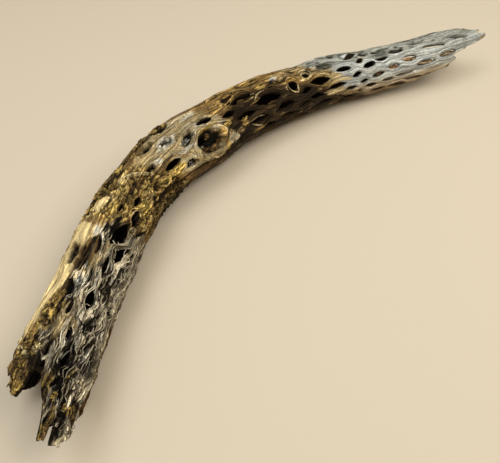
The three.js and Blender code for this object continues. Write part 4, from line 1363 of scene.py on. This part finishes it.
def makeCamera():
    data = bpy.data.cameras.new("camera")
    data.lens = camera["lens"]
    data.sensor_width = camera["sensor"]
    data.clip_start = 0.01
    eye = bpy.data.objects.new("camera", data)
    eye.location = [c * mm for c in camera["place"]]
    eye.rotation_euler = (math.radians(90 - camera["down"]), 0, math.radians(camera["turn"] - 90))
    bpy.context.collection.objects.link(eye)
    bpy.context.scene.camera = eye


studio = {
    "floor": (0.71, 0.622, 0.478), "floorSize": 8,
    # power in watts, place and size in metres, colour; each lamp looks at the origin
    "lights": [("key", 8.0, (-0.45, 0.4, 1.5), 1.0, (0.95, 1.0, 1.06)),
               ("overhead", 10.5, (-0.1, -0.1, 1.75), 2.0, (1.0, 0.97, 0.93)),
               ("side", 12.5, (0.55, -0.85, 1.35), 0.9, (1.0, 0.96, 0.9))],
    "sky": (1.0, 0.88, 0.72), "skyStrength": 0.28,
}


# A pale floor, three soft lamps and an even sky.
def makeStudio():
    bpy.ops.mesh.primitive_plane_add(size=studio["floorSize"])
    floor = bpy.context.object
    floor.name = "floor"
    material, shader = nodeMaterial("floor_paper")
    shader.inputs["Base Color"].default_value = (*studio["floor"], 1)
    shader.inputs["Roughness"].default_value = 0.8
    shader.inputs["Specular IOR Level"].default_value = 0.2
    floor.data.materials.append(material)
    for name, power, place, size, colour in studio["lights"]:
        data = bpy.data.lights.new(name, "AREA")
        data.energy = power
        data.size = size
        data.color = colour
        lamp = bpy.data.objects.new(name, data)
        lamp.location = place
        bpy.context.collection.objects.link(lamp)
        aim = -lamp.location.normalized()
        lamp.rotation_euler = aim.to_track_quat("-Z", "Y").to_euler()
    scene = bpy.context.scene
    world = scene.world or bpy.data.worlds.new("world")
    scene.world = world
    world.use_nodes = True
    background = world.node_tree.nodes["Background"]
    background.inputs["Color"].default_value = (*studio["sky"], 1)
    background.inputs["Strength"].default_value = studio["skyStrength"]
    scene.view_settings.view_transform = "Standard"


def triangleCount(piece):
    shown = piece.evaluated_get(bpy.context.evaluated_depsgraph_get())
    count = sum(len(face.vertices) - 2 for face in shown.to_mesh().polygons)
    shown.to_mesh_clear()
    return count


makeCamera()
makeStudio()
print("stage: studio ready")

# The share of the wood's triangles that stay, and how strongly the bore gives up its own first
keptShare, thinningFactor = 0.58, 4.0

wood = woodMaterial()
mesh, thinning = woodMesh()
branchWood = finished(mesh, "branch_wood", wood)
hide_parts("branch")
group = branchWood.vertex_groups.new(name="thinned")
for k in np.nonzero(thinning > 0)[0]:
    group.add([int(k)], float(thinning[k]), "REPLACE")
reduce = branchWood.modifiers.new("thin the bore", "DECIMATE")
reduce.vertex_group = "thinned"
reduce.vertex_group_factor = thinningFactor
reduce.ratio = keptShare
print("stage: branch wood,", triangleCount(branchWood), "triangles of", 2 * len(mesh.polygons))

fibres = finished(strandMesh(), "branch_fibres", wood)
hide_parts("branch")
print("stage: fibres,", triangleCount(fibres), "triangles")
tissue = finished(crumbMesh(), "branch_tissue", wood)
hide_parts("branch")
print("stage: tissue,", triangleCount(tissue), "triangles")
